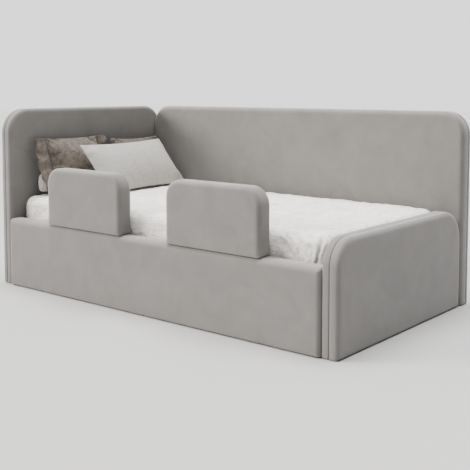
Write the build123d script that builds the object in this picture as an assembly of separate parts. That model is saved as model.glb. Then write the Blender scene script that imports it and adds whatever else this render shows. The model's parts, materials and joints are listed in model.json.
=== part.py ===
from build123d import *
import math
import os

# Upholstered toddler bed: corner sofa-bed shape with a lift-up slatted base.
# Millimetres. X runs from the head end (-) to the foot end (+), Y from the open
# front (-) to the backrest (+), Z up from the floor. The origin is under the
# middle of the whole bed.

# ---- overall sizes ------------------------------------------------------------
BED_LENGTH = 1736.0
BED_DEPTH = 965.0
TALL = 763.0              # headboard and backrest
FOOT_TALL = 385.0
RAIL_TOP = 291.0
GLIDE_HEIGHT = 4.0        # plastic glides keep the upholstery off the floor

# ---- upholstered panels: two padded layers screwed back to back at a seam -------
HEAD_OUTER, HEAD_INNER = 27.0, 34.6
FOOT_OUTER, FOOT_INNER = 35.5, 29.5
BACK_REAR, BACK_FRONT = 23.6, 49.3
HEAD_OUTER_BOARD, HEAD_INNER_BOARD = 15.0, 18.0
FOOT_OUTER_BOARD, FOOT_INNER_BOARD = 18.0, 16.0
BACK_REAR_BOARD, BACK_FRONT_BOARD = 12.0, 25.0
HEAD_ROUND = 14.0
FOOT_OUTER_ROUND, FOOT_INNER_ROUND = 16.0, 14.0
BACK_REAR_ROUND, BACK_FRONT_ROUND = 10.0, 18.0
EDGE_PAD = 11.0           # padding over a panel's edge
HEAD_CORNER = 105.0
BACK_CORNER = 92.0
FOOT_CORNER_FRONT, FOOT_CORNER_REAR = 92.0, 120.0
PANEL_FRONT_SETBACK = 17.0  # panels start behind the guards' front faces
PANEL_BOLT = 24.0
BACK_BOLT = 20.0

HEAD_X = -BED_LENGTH / 2
FOOT_X = BED_LENGTH / 2
REAR_Y = BED_DEPTH / 2
HEAD_SEAM = HEAD_X + HEAD_OUTER
HEAD_FACE = HEAD_SEAM + HEAD_INNER
FOOT_SEAM = FOOT_X - FOOT_OUTER
FOOT_FACE = FOOT_SEAM - FOOT_INNER
BACK_SEAM = REAR_Y - BACK_REAR
BACK_FACE = BACK_SEAM - BACK_FRONT
PANEL_FRONT = -REAR_Y + PANEL_FRONT_SETBACK

# ---- front rail: three boards inside a padded cover ------------------------------
RAIL_DEPTH = 65.0
RAIL_PROUD = 14.0         # the rail stands in front of the end panels
RAIL_FRONT = PANEL_FRONT - RAIL_PROUD
RAIL_BACK = RAIL_FRONT + RAIL_DEPTH
RAIL_PAD = 12.0
RAIL_TOP_PAD = 10.0
RAIL_ROUND = 20.0
BOARD = 18.0
RAIL_REAR_BOARD = 16.0
RAIL_TOP_BOARD = 16.0

# ---- guards: padded blocks that stand on the rail and lift off --------------------
GUARD_LENGTH = 418.0
GUARD_DEPTH = 67.0
GUARD_TOP = 527.0
GUARD_STARTS = (-533.0, 140.0)
GUARD_CORNER = 65.0
GUARD_BOTTOM_CORNER = 16.0
GUARD_ROUND = 15.0
GUARD_PAD = 14.0
GUARD_CORE_CORNER = 2.0
GUARD_FRONT = -REAR_Y
GUARD_LIFT_GAP = 0.3      # between a guard and the rail under it
LEG_RADIUS = 6.0
LEG_LENGTH = 116.0
LEG_INSET = 75.0
LEG_PLATE = 4.0
LEG_PLATE_RECESS = 4.0    # the plate lies this far up inside the guard
LEG_PLATE_HALF = 32.0
LEG_PLATE_BEHIND, LEG_PLATE_BEFORE = 9.0, 15.0   # its edges, from the leg's axis
GUARD_SCREW_LENGTH = 34.0
GUARD_SCREW_INSET = 9.0
SOCKET_WALL = 2.0
SOCKET_SPARE = 4.0        # a socket is longer than the leg in it
SOCKET_CLEARANCE = 0.08

# ---- lift-up base --------------------------------------------------------------
TUBE = 30.0
TUBE_WALL = 2.0
FRAME_BOTTOM = 203.0
FRAME_HEAD_GAP = 12.0
FRAME_FOOT_GAP = 30.4
PLATE = 4.0
SLAT_COUNT = 14
SLAT_WIDTH = 62.0
SLAT_THICKNESS = 8.0
SLAT_CAMBER = 7.0
SLAT_LIFT = 6.0           # above the frame, in its holder
SLAT_END_MARGIN = 24.0
HOLDER_HEIGHT = 20.0
HOLDER_LIP = 3.0
MATTRESS_BOTTOM = 255.0
MATTRESS_TOP = 388.0
MATTRESS_GAPS = (3.4, 12.0, 3.0, 4.0)   # at the head, foot, front and rear
MATTRESS_CORNER = 30.0
MATTRESS_EDGE = 26.0
COVER_THICKNESS = 8.0

# pivots, as distances from the headboard's face and heights above the floor
ARM_GROUND = (400.0, 120.0)
ARM_LENGTH = 250.0
ARM_ANGLE = 155.0
ARM_BASE = (
    ARM_GROUND[0] + ARM_LENGTH * math.cos(math.radians(ARM_ANGLE)),
    ARM_GROUND[1] + ARM_LENGTH * math.sin(math.radians(ARM_ANGLE)),
)
LINK_GROUND = (452.3, 35.6)
LINK_BASE = (180.0, 190.0)
STRUT_GROUND = (260.0, 80.0)
STRUT_BASE = (120.0, 232.0)
ARM_HALF_WIDTH, LINK_HALF_WIDTH = 12.0, 10.0
PIN_RADIUS = 5.0
STRUT_PIN_RADIUS = 4.0
RUNNING_FIT = 0.06
OPEN_PIVOT_GAP = 1.6
STRUT_OPEN_GAP = 2.1

# layers of the linkage, measured inwards from the face that carries its plate
ARM_LAYER = 23.0
LINK_LAYER = 30.0
BASE_PLATE_LAYER = 36.0
STRUT_LAYER = 13.0        # centre of the gas strut
STRUT_RADIUS = 8.5
STRUT_TUBE_END = 140.0
ROD_RADIUS = 4.0
ROD_TAIL = 22.0
ROD_PISTON = 8.0
EYE_RADIUS = 10.0
EYE_WIDTH = 10.0
TUBE_SHELL = 1.2
TUBE_FLOOR, TUBE_MOUTH, ROD_GUIDE = 6.0, 8.0, 20.0
SPACER_WALL, WASHER_WALL = 4.0, 3.0
WASHER = 1.2
WASHER_GAP = 0.2
PIN_TIP = WASHER + WASHER_GAP
EYE_WASHER_GAP = 0.4
STRUT_WASHER_WALL = 2.0

# ---- storage box ----------------------------------------------------------------
SIDE_BOARD_TOP = 240.0
LEDGER_HEIGHT = 25.0
HEAD_LEDGER = 45.0
FOOT_LEDGER = 60.0
FLOOR_PANEL = 6.0
FLOOR_TOP = 20.0
FLOOR_LEDGE = 18.0
FLOOR_GAP = 1.0
GLIDE_RADIUS = 9.0
GLIDE_INSET = 60.0
GLIDE_XS = (-600.0, 0.0, 600.0)
BEARER_GLIDE_YS = (-250.0, 230.0)
LEDGER_SCREW_BITE = 24.0
SIDE_BOARD_SCREW = 50.0
SCREW_RADIUS = 3.0
SCREW_HEAD_RADIUS = 5.5
SCREW_HEAD = 2.5

SIDE_BOARD_FACE = BACK_FACE - BOARD
CAVITY_CENTRE = (RAIL_BACK + SIDE_BOARD_FACE) / 2

os.makedirs("parts", exist_ok=True)


# ---- small builders ---------------------------------------------------------------
def box(x0, x1, y0, y1, z0, z1):
    """A box between two corners."""
    middle = ((x0 + x1) / 2, (y0 + y1) / 2, (z0 + z1) / 2)
    return Pos(*middle) * Box(x1 - x0, y1 - y0, z1 - z0)


def rod(start, direction, length, radius):
    """A round bar from a point along a direction."""
    plane = Plane(origin=start, z_dir=direction)
    return plane * extrude(Circle(radius), amount=length)


def group(solids):
    """Separate solids that share one node."""
    return Compound(children=list(solids))


def save(name, shape):
    """Write one node."""
    export_step(shape, f"parts/{name}.step")


def mirrored(shape):
    """The same piece on the far side of the storage box."""
    return mirror(shape, about=Plane.XZ.offset(-CAVITY_CENTRE))


def between(x0, x1, y0, y1, z0, z1):
    """A box between two corners given in any order."""
    return box(min(x0, x1), max(x0, x1), min(y0, y1), max(y0, y1), z0, z1)


def cut(shape, tools):
    """Take several tools out of a shape."""
    for tool in tools:
        shape = shape - tool
    return shape


# ---- screws: each one is a point on the surface it is driven into, a direction
# ---- and a length, and is drilled out of every board that it passes ------------------
def screw(point, direction, length):
    head_start = tuple(p - d * SCREW_HEAD for p, d in zip(point, direction))
    shank = rod(point, direction, length, SCREW_RADIUS)
    head = rod(head_start, direction, SCREW_HEAD, SCREW_HEAD_RADIUS)
    return head + shank


def shanks(screws):
    return [rod(point, direction, length, SCREW_RADIUS) for point, direction, length in screws]


# ---- upholstered panels -------------------------------------------------------------
def outline(width, height, left_radius, right_radius):
    """A panel's face: square at the floor, round at the two top corners."""
    face = Pos(width / 2, height / 2) * Rectangle(width, height)
    corners = face.vertices().sort_by(Axis.Y)[-2:].sort_by(Axis.X)
    face = fillet(corners[0], left_radius)
    corner = face.vertices().filter_by(lambda v: v.Y > height - 1 and v.X > width - 1)
    return fillet(corner, right_radius)


def padded_layer(plane, width, height, radii, thickness, core_thickness, edge_round):
    """One layer of a panel: a board, and the padded cover over its face and edges."""
    left, right = radii
    block = extrude(outline(width, height, left, right), amount=thickness)
    face_edges = block.faces().sort_by(Axis.Z)[-1].edges()
    padded_edges = face_edges.filter_by(lambda e: e.center().Y > 1)
    block = fillet(padded_edges, edge_round)
    inner = outline(width - 2 * EDGE_PAD, height - EDGE_PAD, left - EDGE_PAD, right - EDGE_PAD)
    core = Pos(EDGE_PAD, 0, 0) * extrude(inner, amount=core_thickness)
    return plane * core, plane * (block - core)


def seam_bolts(points, direction, length):
    """Short bolts that cross a panel's seam and hold its two layers together."""
    half = [c * length / 2 for c in direction]
    bolts = []
    for point in points:
        start = tuple(p - h for p, h in zip(point, half))
        bolts.append(rod(start, direction, length, SCREW_RADIUS + 1))
    return bolts


# ---- headboard, footboard and backrest ----------------------------------------------
HEAD_WIDTH = BACK_SEAM - PANEL_FRONT
FOOT_WIDTH = BACK_FACE - PANEL_FRONT
BACK_FRONT_WIDTH = FOOT_X - HEAD_FACE
BACK_LAP = HEAD_SEAM - 2.0
BACK_REAR_WIDTH = FOOT_X - BACK_LAP
TALL_HEIGHT = TALL - GLIDE_HEIGHT
FOOT_HEIGHT = FOOT_TALL - GLIDE_HEIGHT


def facing_foot(x, y):
    return Plane(origin=(x, y, GLIDE_HEIGHT), x_dir=(0, 1, 0), z_dir=(1, 0, 0))


def facing_head(x, y):
    return Plane(origin=(x, y, GLIDE_HEIGHT), x_dir=(0, -1, 0), z_dir=(-1, 0, 0))


def facing_front(x, y):
    return Plane(origin=(x, y, GLIDE_HEIGHT), x_dir=(1, 0, 0), z_dir=(0, -1, 0))


def facing_rear(x, y):
    return Plane(origin=(x, y, GLIDE_HEIGHT), x_dir=(-1, 0, 0), z_dir=(0, 1, 0))


HEAD_BOLTS = seam_bolts(
    [(HEAD_SEAM, y, z) for y in (-360.0, 0.0, 360.0) for z in (150.0, 600.0)],
    (1, 0, 0), PANEL_BOLT,
)
FOOT_BOLTS = seam_bolts(
    [(FOOT_SEAM, y, z) for y in (-360.0, 310.0) for z in (90.0, 290.0)], (1, 0, 0), PANEL_BOLT
)
BACK_BOLTS = seam_bolts(
    [(x, BACK_SEAM, z) for x in (-700.0, 0.0, 700.0) for z in (150.0, 600.0)],
    (0, 1, 0), BACK_BOLT,
)

# ledgers carry the two ends of the lift-up base
LEDGER_BOTTOM = FRAME_BOTTOM - LEDGER_HEIGHT
LEDGER_MIDDLE = LEDGER_BOTTOM + LEDGER_HEIGHT / 2
LEDGER_SCREW_YS = (-330.0, -120.0, 100.0, 310.0)
HEAD_LEDGER_SCREWS = [
    ((HEAD_FACE + HEAD_LEDGER, y, LEDGER_MIDDLE), (-1, 0, 0), HEAD_LEDGER + LEDGER_SCREW_BITE)
    for y in LEDGER_SCREW_YS
]
FOOT_LEDGER_SCREWS = [
    ((FOOT_FACE - FOOT_LEDGER, y, LEDGER_MIDDLE), (1, 0, 0), FOOT_LEDGER + LEDGER_SCREW_BITE)
    for y in LEDGER_SCREW_YS
]

# steel angles tie the rail and the side board to the head and foot panels
ANGLE_LEG = 40.0
ANGLE_WALL = 3.0
ANGLE_BOTTOM, ANGLE_TOP = 60.0, 165.0
ANGLE_SCREW_ZS = (85.0, 140.0)
ANGLE_SCREW_INSET = 25.0
ANGLE_END_SCREW, ANGLE_LONG_SCREW = 26.0, 16.0


def angle_screws():
    """Screws of the four corner angles: into the end panels, and into the long boards."""
    ends, longs = [], []
    for z in ANGLE_SCREW_ZS:
        for x, towards in ((HEAD_FACE, -1), (FOOT_FACE, 1)):
            surface = x - towards * ANGLE_WALL
            for y in (RAIL_BACK + ANGLE_SCREW_INSET, SIDE_BOARD_FACE - ANGLE_SCREW_INSET):
                ends.append(((surface, y, z), (towards, 0, 0), ANGLE_END_SCREW))
            inset = x - towards * ANGLE_SCREW_INSET
            longs.append(((inset, RAIL_BACK + ANGLE_WALL, z), (0, -1, 0), ANGLE_LONG_SCREW))
            longs.append(((inset, SIDE_BOARD_FACE - ANGLE_WALL, z), (0, 1, 0), ANGLE_LONG_SCREW))
    return ends, longs


END_ANGLE_SCREWS, LONG_ANGLE_SCREWS = angle_screws()


def make_headboard():
    holes = HEAD_BOLTS + shanks(HEAD_LEDGER_SCREWS + END_ANGLE_SCREWS)
    core, cover = padded_layer(
        facing_foot(HEAD_SEAM, PANEL_FRONT), HEAD_WIDTH, TALL_HEIGHT,
        (HEAD_CORNER, HEAD_CORNER), HEAD_INNER, HEAD_INNER_BOARD, HEAD_ROUND,
    )
    save("headboard_inner_board", cut(core, holes))
    save("headboard_inner_cover", cut(cover, holes))
    core, cover = padded_layer(
        facing_head(HEAD_SEAM, BACK_SEAM), HEAD_WIDTH, TALL_HEIGHT,
        (HEAD_CORNER, HEAD_CORNER), HEAD_OUTER, HEAD_OUTER_BOARD, HEAD_ROUND,
    )
    save("headboard_outer_board", cut(core, HEAD_BOLTS))
    save("headboard_outer_cover", cover)


def make_footboard():
    holes = FOOT_BOLTS + shanks(FOOT_LEDGER_SCREWS + END_ANGLE_SCREWS)
    core, cover = padded_layer(
        facing_head(FOOT_SEAM, BACK_FACE), FOOT_WIDTH, FOOT_HEIGHT,
        (FOOT_CORNER_REAR, FOOT_CORNER_FRONT), FOOT_INNER, FOOT_INNER_BOARD, FOOT_INNER_ROUND,
    )
    save("footboard_inner_board", cut(core, holes))
    save("footboard_inner_cover", cut(cover, holes))
    core, cover = padded_layer(
        facing_foot(FOOT_SEAM, PANEL_FRONT), FOOT_WIDTH, FOOT_HEIGHT,
        (FOOT_CORNER_FRONT, FOOT_CORNER_REAR), FOOT_OUTER, FOOT_OUTER_BOARD, FOOT_OUTER_ROUND,
    )
    save("footboard_outer_board", cut(core, FOOT_BOLTS))
    save("footboard_outer_cover", cover)


SIDE_BOARD_SCREWS = [
    ((x, SIDE_BOARD_FACE, z), (0, 1, 0), SIDE_BOARD_SCREW)
    for x in (-650.0, -220.0, 220.0, 650.0) for z in (90.0, 205.0)
]


def make_backrest():
    holes = BACK_BOLTS + shanks(SIDE_BOARD_SCREWS)
    core, cover = padded_layer(
        facing_front(HEAD_FACE, BACK_SEAM), BACK_FRONT_WIDTH, TALL_HEIGHT,
        (BACK_CORNER, BACK_CORNER), BACK_FRONT, BACK_FRONT_BOARD, BACK_FRONT_ROUND,
    )
    save("backrest_front_board", cut(core, holes))
    save("backrest_front_cover", cut(cover, holes))
    core, cover = padded_layer(
        facing_rear(FOOT_X, BACK_SEAM), BACK_REAR_WIDTH, TALL_HEIGHT,
        (BACK_CORNER, BACK_CORNER), BACK_REAR, BACK_REAR_BOARD, BACK_REAR_ROUND,
    )
    save("backrest_rear_board", cut(core, BACK_BOLTS))
    save("backrest_rear_cover", cover)
    save("panel_bolts", group(HEAD_BOLTS + FOOT_BOLTS + BACK_BOLTS))


# ---- front rail ----------------------------------------------------------------------
RAIL_INSIDE_HEAD = HEAD_FACE + RAIL_PAD
RAIL_INSIDE_FOOT = FOOT_FACE - RAIL_PAD
FRONT_BOARD_FACE = RAIL_FRONT + RAIL_PAD
FRONT_BOARD_BACK = FRONT_BOARD_FACE + BOARD
REAR_BOARD_FACE = RAIL_BACK - RAIL_REAR_BOARD
BOARDS_TOP = RAIL_TOP - RAIL_TOP_PAD
SOCKET_Y = (FRONT_BOARD_BACK + REAR_BOARD_FACE) / 2
SOCKET_RADIUS = LEG_RADIUS + SOCKET_WALL
SOCKET_DEPTH = LEG_LENGTH + SOCKET_SPARE
SOCKET_BOTTOM = RAIL_TOP - SOCKET_DEPTH
BORE_OVERRUN = 10.0
LEG_XS = [
    start + offset for start in GUARD_STARTS for offset in (LEG_INSET, GUARD_LENGTH - LEG_INSET)
]


def socket_bores():
    """Holes through the rail's top for the four sockets."""
    length = SOCKET_DEPTH + 2 * BORE_OVERRUN
    return [
        rod((x, SOCKET_Y, SOCKET_BOTTOM - BORE_OVERRUN), (0, 0, 1), length, SOCKET_RADIUS)
        for x in LEG_XS
    ]


def make_rail():
    rail = box(HEAD_FACE, FOOT_FACE, RAIL_FRONT, RAIL_BACK, GLIDE_HEIGHT, RAIL_TOP)
    front_edges = rail.faces().sort_by(Axis.Y)[0].edges()
    rounded = front_edges.filter_by(lambda e: e.center().Z > GLIDE_HEIGHT + 1)
    rail = fillet(rounded, RAIL_ROUND)
    inside = box(
        RAIL_INSIDE_HEAD, RAIL_INSIDE_FOOT, FRONT_BOARD_FACE, RAIL_BACK, GLIDE_HEIGHT, BOARDS_TOP
    )
    bores = socket_bores()
    save("rail_cover", cut(rail - inside, bores))
    save("rail_front_board", box(
        RAIL_INSIDE_HEAD, RAIL_INSIDE_FOOT, FRONT_BOARD_FACE, FRONT_BOARD_BACK,
        GLIDE_HEIGHT, BOARDS_TOP,
    ))
    top = box(
        RAIL_INSIDE_HEAD, RAIL_INSIDE_FOOT, FRONT_BOARD_BACK, RAIL_BACK,
        BOARDS_TOP - RAIL_TOP_BOARD, BOARDS_TOP,
    )
    save("rail_top_board", cut(top, bores))
    rear = box(
        RAIL_INSIDE_HEAD, RAIL_INSIDE_FOOT, REAR_BOARD_FACE, RAIL_BACK,
        GLIDE_HEIGHT, BOARDS_TOP - RAIL_TOP_BOARD,
    )
    save("rail_rear_board", cut(rear, shanks(LONG_ANGLE_SCREWS + ground_plate_screws())))
    blocks = []
    for x in (RAIL_INSIDE_HEAD, -BOARD / 2, RAIL_INSIDE_FOOT - BOARD):
        blocks.append(box(
            x, x + BOARD, FRONT_BOARD_BACK, REAR_BOARD_FACE,
            GLIDE_HEIGHT, BOARDS_TOP - RAIL_TOP_BOARD,
        ))
    save("rail_spacer_blocks", group(blocks))
    sockets = []
    for x in LEG_XS:
        bottom = (x, SOCKET_Y, SOCKET_BOTTOM)
        tube = rod(bottom, (0, 0, 1), SOCKET_DEPTH - RAIL_TOP_PAD, SOCKET_RADIUS)
        bore = rod(bottom, (0, 0, 1), SOCKET_DEPTH, LEG_RADIUS + SOCKET_CLEARANCE)
        sockets.append(tube - bore)
    save("guard_sockets", group(sockets))


# ---- guards --------------------------------------------------------------------------
GUARD_BOTTOM = RAIL_TOP + GUARD_LIFT_GAP
LEG_PLATE_BOTTOM = GUARD_BOTTOM + LEG_PLATE_RECESS
GUARD_CORE_BOTTOM = LEG_PLATE_BOTTOM + LEG_PLATE


def guard_outline(length, height, top_radius, bottom_radius):
    face = Pos(length / 2, height / 2) * Rectangle(length, height)
    face = fillet(face.vertices().sort_by(Axis.Y)[-2:], top_radius)
    low = face.vertices().filter_by(lambda v: v.Y < 1)
    return fillet(low, bottom_radius)


def make_guard(number, start):
    height = GUARD_TOP - GUARD_BOTTOM
    plane = Plane(
        origin=(start, GUARD_FRONT + GUARD_DEPTH, GUARD_BOTTOM), x_dir=(1, 0, 0), z_dir=(0, -1, 0)
    )
    block = extrude(
        guard_outline(GUARD_LENGTH, height, GUARD_CORNER, GUARD_BOTTOM_CORNER), amount=GUARD_DEPTH
    )
    faces = block.faces().sort_by(Axis.Z)
    block = fillet(faces[0].edges() + faces[-1].edges(), GUARD_ROUND)
    core_height = GUARD_TOP - GUARD_PAD - GUARD_CORE_BOTTOM
    core_face = guard_outline(
        GUARD_LENGTH - 2 * GUARD_PAD, core_height, GUARD_CORNER - GUARD_PAD, GUARD_CORE_CORNER
    )
    core = Pos(GUARD_PAD, GUARD_CORE_BOTTOM - GUARD_BOTTOM, GUARD_PAD) * extrude(
        core_face, amount=GUARD_DEPTH - 2 * GUARD_PAD
    )
    core = plane * core
    cover = plane * block - core

    def plate_sized(x, bottom):
        return box(
            x - LEG_PLATE_HALF, x + LEG_PLATE_HALF,
            SOCKET_Y - LEG_PLATE_BEFORE, SOCKET_Y + LEG_PLATE_BEHIND, bottom, GUARD_CORE_BOTTOM,
        )

    legs, screws, recesses = [], [], []
    for offset in (LEG_INSET, GUARD_LENGTH - LEG_INSET):
        x = start + offset
        leg = rod(
            (x, SOCKET_Y, RAIL_TOP - LEG_LENGTH), (0, 0, 1),
            LEG_LENGTH + LEG_PLATE_BOTTOM - RAIL_TOP, LEG_RADIUS,
        )
        for side in (-1, 1):
            screw_x = x + side * (LEG_PLATE_HALF - GUARD_SCREW_INSET)
            screw_y = SOCKET_Y + (LEG_PLATE_BEHIND - LEG_PLATE_BEFORE) / 2
            screws.append(((screw_x, screw_y, LEG_PLATE_BOTTOM), (0, 0, 1), GUARD_SCREW_LENGTH))
        recesses.append(plate_sized(x, GUARD_BOTTOM - 1))
        legs.append(plate_sized(x, LEG_PLATE_BOTTOM) + leg)
    holes = shanks(screws)
    save(f"guard_{number}_board", cut(core, holes))
    save(f"guard_{number}_cover", cut(cover, recesses))
    save(f"guard_{number}_legs", group([cut(leg, holes) for leg in legs]))
    save(f"guard_{number}_screws", group([screw(*one) for one in screws]))


# ---- storage box -----------------------------------------------------------------------
def make_storage_box():
    side = box(HEAD_FACE, FOOT_FACE, SIDE_BOARD_FACE, BACK_FACE, GLIDE_HEIGHT, SIDE_BOARD_TOP)
    rear_plate_screws = [
        ((point[0], 2 * CAVITY_CENTRE - point[1], point[2]), (0, 1, 0), length)
        for point, _, length in ground_plate_screws()
    ]
    drilled = SIDE_BOARD_SCREWS + LONG_ANGLE_SCREWS + rear_plate_screws
    save("side_board", cut(side, shanks(drilled)))

    head = box(
        HEAD_FACE, HEAD_FACE + HEAD_LEDGER, RAIL_BACK, SIDE_BOARD_FACE, LEDGER_BOTTOM, FRAME_BOTTOM
    )
    save("head_ledger", cut(head, shanks(HEAD_LEDGER_SCREWS)))
    foot = box(
        FOOT_FACE - FOOT_LEDGER, FOOT_FACE, RAIL_BACK, SIDE_BOARD_FACE, LEDGER_BOTTOM, FRAME_BOTTOM
    )
    save("foot_ledger", cut(foot, shanks(FOOT_LEDGER_SCREWS)))

    angles = []
    for x, towards in ((HEAD_FACE, 1), (FOOT_FACE, -1)):
        for y, inward in ((RAIL_BACK, 1), (SIDE_BOARD_FACE, -1)):
            on_end = between(
                x, x + towards * ANGLE_WALL, y, y + inward * ANGLE_LEG, ANGLE_BOTTOM, ANGLE_TOP
            )
            on_long = between(
                x, x + towards * ANGLE_LEG, y, y + inward * ANGLE_WALL, ANGLE_BOTTOM, ANGLE_TOP
            )
            angles.append(cut(on_end + on_long, shanks(END_ANGLE_SCREWS + LONG_ANGLE_SCREWS)))
    save("corner_angles", group(angles))
    box_screws = (
        HEAD_LEDGER_SCREWS + FOOT_LEDGER_SCREWS + END_ANGLE_SCREWS + LONG_ANGLE_SCREWS
        + SIDE_BOARD_SCREWS + ground_plate_screws() + rear_plate_screws
    )
    save("frame_screws", group([screw(*one) for one in box_screws]))

    panel_bottom = FLOOR_TOP - FLOOR_PANEL
    ledges = []
    for y in (RAIL_BACK, SIDE_BOARD_FACE - FLOOR_LEDGE):
        ledges.append(box(
            HEAD_FACE + FLOOR_GAP, FOOT_FACE - FLOOR_GAP, y, y + FLOOR_LEDGE,
            GLIDE_HEIGHT, panel_bottom,
        ))
    half = (FOOT_FACE - HEAD_FACE) / 2
    bearer_xs = [HEAD_FACE + share * half for share in (0.5, 1.0, 1.5)]
    for x in bearer_xs:
        ledges.append(box(
            x - BOARD, x + BOARD, RAIL_BACK + FLOOR_LEDGE, SIDE_BOARD_FACE - FLOOR_LEDGE,
            GLIDE_HEIGHT, panel_bottom,
        ))
    save("floor_battens", group(ledges))
    for number in (1, 2):
        x = HEAD_FACE + (number - 1) * half
        save(f"storage_floor_{number}", box(
            x + FLOOR_GAP, x + half - FLOOR_GAP,
            RAIL_BACK + PLATE + FLOOR_GAP, SIDE_BOARD_FACE - PLATE - FLOOR_GAP,
            panel_bottom, FLOOR_TOP,
        ))

    glides = []
    for x in (HEAD_SEAM, FOOT_SEAM):
        glides += [(x, PANEL_FRONT + GLIDE_INSET), (x, CAVITY_CENTRE), (x, BACK_FACE - GLIDE_INSET)]
    glides += [(x, BACK_SEAM) for x in GLIDE_XS]
    glides += [(x, FRONT_BOARD_BACK - BOARD / 2) for x in GLIDE_XS]
    glides += [(x, y) for x in bearer_xs for y in BEARER_GLIDE_YS]
    save("floor_glides", group([
        rod((x, y, 0), (0, 0, 1), GLIDE_HEIGHT, GLIDE_RADIUS) for x, y in glides
    ]))


# ---- lift linkage -------------------------------------------------------------------------
def pivot(point, layer):
    """A pivot's place: a distance from the headboard and a height, at a linkage layer."""
    return (HEAD_FACE + point[0], RAIL_BACK + layer, point[1])


def pin(point, start, end, radius):
    """A round pin, spacer or washer on a pivot, between two layers."""
    return rod(pivot(point, start), (0, 1, 0), end - start, radius)


def flat_bar(ends, layer, half_width, bores):
    """A flat steel bar with round ends and a bore at each pivot."""
    (x0, z0), (x1, z1) = ends
    length = math.hypot(x1 - x0, z1 - z0)
    angle = math.degrees(math.atan2(z1 - z0, x1 - x0))
    plane = Plane(origin=pivot(ends[0], layer), x_dir=(1, 0, 0), z_dir=(0, -1, 0))
    face = Pos(length / 2, 0) * SlotCenterToCenter(length, 2 * half_width)
    face = face - Circle(bores[0]) - Pos(length, 0) * Circle(bores[1])
    return plane * (Rot(0, 0, angle) * extrude(face, amount=-PLATE))


GROUND_PLATE_ENDS = ((235.0, 18.0), (485.0, 145.0))
GROUND_PLATE_STEP = 28.0  # the plate's lower edge is cut back up to its foot
GROUND_FOOT_WIDTH = 60.0
GROUND_PLATE_HOLES = ((330.0, 40.0), (330.0, 120.0), (465.0, 120.0))


def ground_plate_screws():
    return [
        (pivot(place, PLATE), (0, -1, 0), RAIL_REAR_BOARD)
        for place in GROUND_PLATE_HOLES
    ]


def ground_plate():
    """The plate on the box side that carries the fixed pivots."""
    (x0, z0), (x1, z1) = GROUND_PLATE_ENDS
    foot_end = HEAD_FACE + x1
    step_z = z0 + GROUND_PLATE_STEP
    upper = box(HEAD_FACE + x0, foot_end, RAIL_BACK, RAIL_BACK + PLATE, step_z, z1)
    foot = box(foot_end - GROUND_FOOT_WIDTH, foot_end, RAIL_BACK, RAIL_BACK + PLATE, z0, step_z)
    plate = upper + foot
    pins = [rod(pivot(p, 0), (0, 1, 0), PLATE, PIN_RADIUS) for p in (ARM_GROUND, LINK_GROUND)]
    pins.append(rod(pivot(STRUT_GROUND, 0), (0, 1, 0), PLATE, STRUT_PIN_RADIUS))
    return cut(plate, pins + shanks(ground_plate_screws()))


def ground_pins():
    """Fixed pins: of the lift arm, of the second link and of the gas strut."""
    pins = []
    for place, layer in ((ARM_GROUND, ARM_LAYER), (LINK_GROUND, LINK_LAYER)):
        outside = layer + PLATE + WASHER_GAP
        one = pin(place, 0, outside + WASHER, PIN_RADIUS)
        one += pin(place, PLATE, layer - WASHER_GAP, PIN_RADIUS + SPACER_WALL)
        one += pin(place, outside, outside + WASHER, PIN_RADIUS + WASHER_WALL)
        pins.append(one)
    inside, outside = STRUT_LAYER - EYE_WIDTH / 2, STRUT_LAYER + EYE_WIDTH / 2 + EYE_WASHER_GAP
    strut = pin(STRUT_GROUND, 0, outside + WASHER, STRUT_PIN_RADIUS)
    strut += pin(STRUT_GROUND, PLATE, inside - WASHER_GAP, STRUT_PIN_RADIUS + WASHER_WALL)
    strut += pin(STRUT_GROUND, outside, outside + WASHER, STRUT_PIN_RADIUS + STRUT_WASHER_WALL)
    return pins + [strut]


def base_plate():
    """The plate beside the base's side tube that carries the moving pivots."""
    corner_points = [
        (100.0, FRAME_BOTTOM + TUBE),
        (100.0, 214.0),
        (150.0, 176.0),
        (196.0, 176.0),
        (215.0, FRAME_BOTTOM + TUBE),
    ]
    plane = Plane(
        origin=pivot((0, 0), BASE_PLATE_LAYER), x_dir=(1, 0, 0), z_dir=(0, -1, 0)
    )
    plate = plane * extrude(make_face(Polyline(*corner_points, close=True)), amount=-PLATE)
    through = BASE_PLATE_LAYER + 2 * PLATE
    pins = [pin(place, 0, through, PIN_RADIUS) for place in (ARM_BASE, LINK_BASE)]
    pins.append(pin(STRUT_BASE, 0, through, STRUT_PIN_RADIUS))
    return cut(plate, pins)


def base_pins():
    """Moving pins: of the lift arm, of the second link and of the gas strut's rod."""
    end = BASE_PLATE_LAYER + PLATE
    arm = pin(ARM_BASE, ARM_LAYER - PIN_TIP, end, PIN_RADIUS)
    arm += pin(
        ARM_BASE, ARM_LAYER - PIN_TIP, ARM_LAYER - WASHER_GAP, PIN_RADIUS + WASHER_WALL
    )
    arm += pin(
        ARM_BASE, ARM_LAYER + PLATE + WASHER_GAP, BASE_PLATE_LAYER, PIN_RADIUS + WASHER_WALL
    )
    link = pin(LINK_BASE, LINK_LAYER - PIN_TIP, end, PIN_RADIUS)
    link += pin(
        LINK_BASE, LINK_LAYER - PIN_TIP, LINK_LAYER - WASHER_GAP, PIN_RADIUS + SPACER_WALL
    )
    tip = STRUT_LAYER - EYE_WIDTH / 2 - PIN_TIP
    strut = pin(STRUT_BASE, tip, end, STRUT_PIN_RADIUS)
    strut += pin(STRUT_BASE, tip, tip + WASHER, STRUT_PIN_RADIUS + SPACER_WALL)
    return [arm, link, strut]


def strut_frame():
    """The gas strut's own frame: its length runs along local X from the fixed pivot."""
    dx = STRUT_BASE[0] - STRUT_GROUND[0]
    dz = STRUT_BASE[1] - STRUT_GROUND[1]
    plane = Plane(origin=pivot(STRUT_GROUND, STRUT_LAYER), x_dir=(dx, 0, dz), z_dir=(0, 1, 0))
    return plane, math.hypot(dx, dz)


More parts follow.
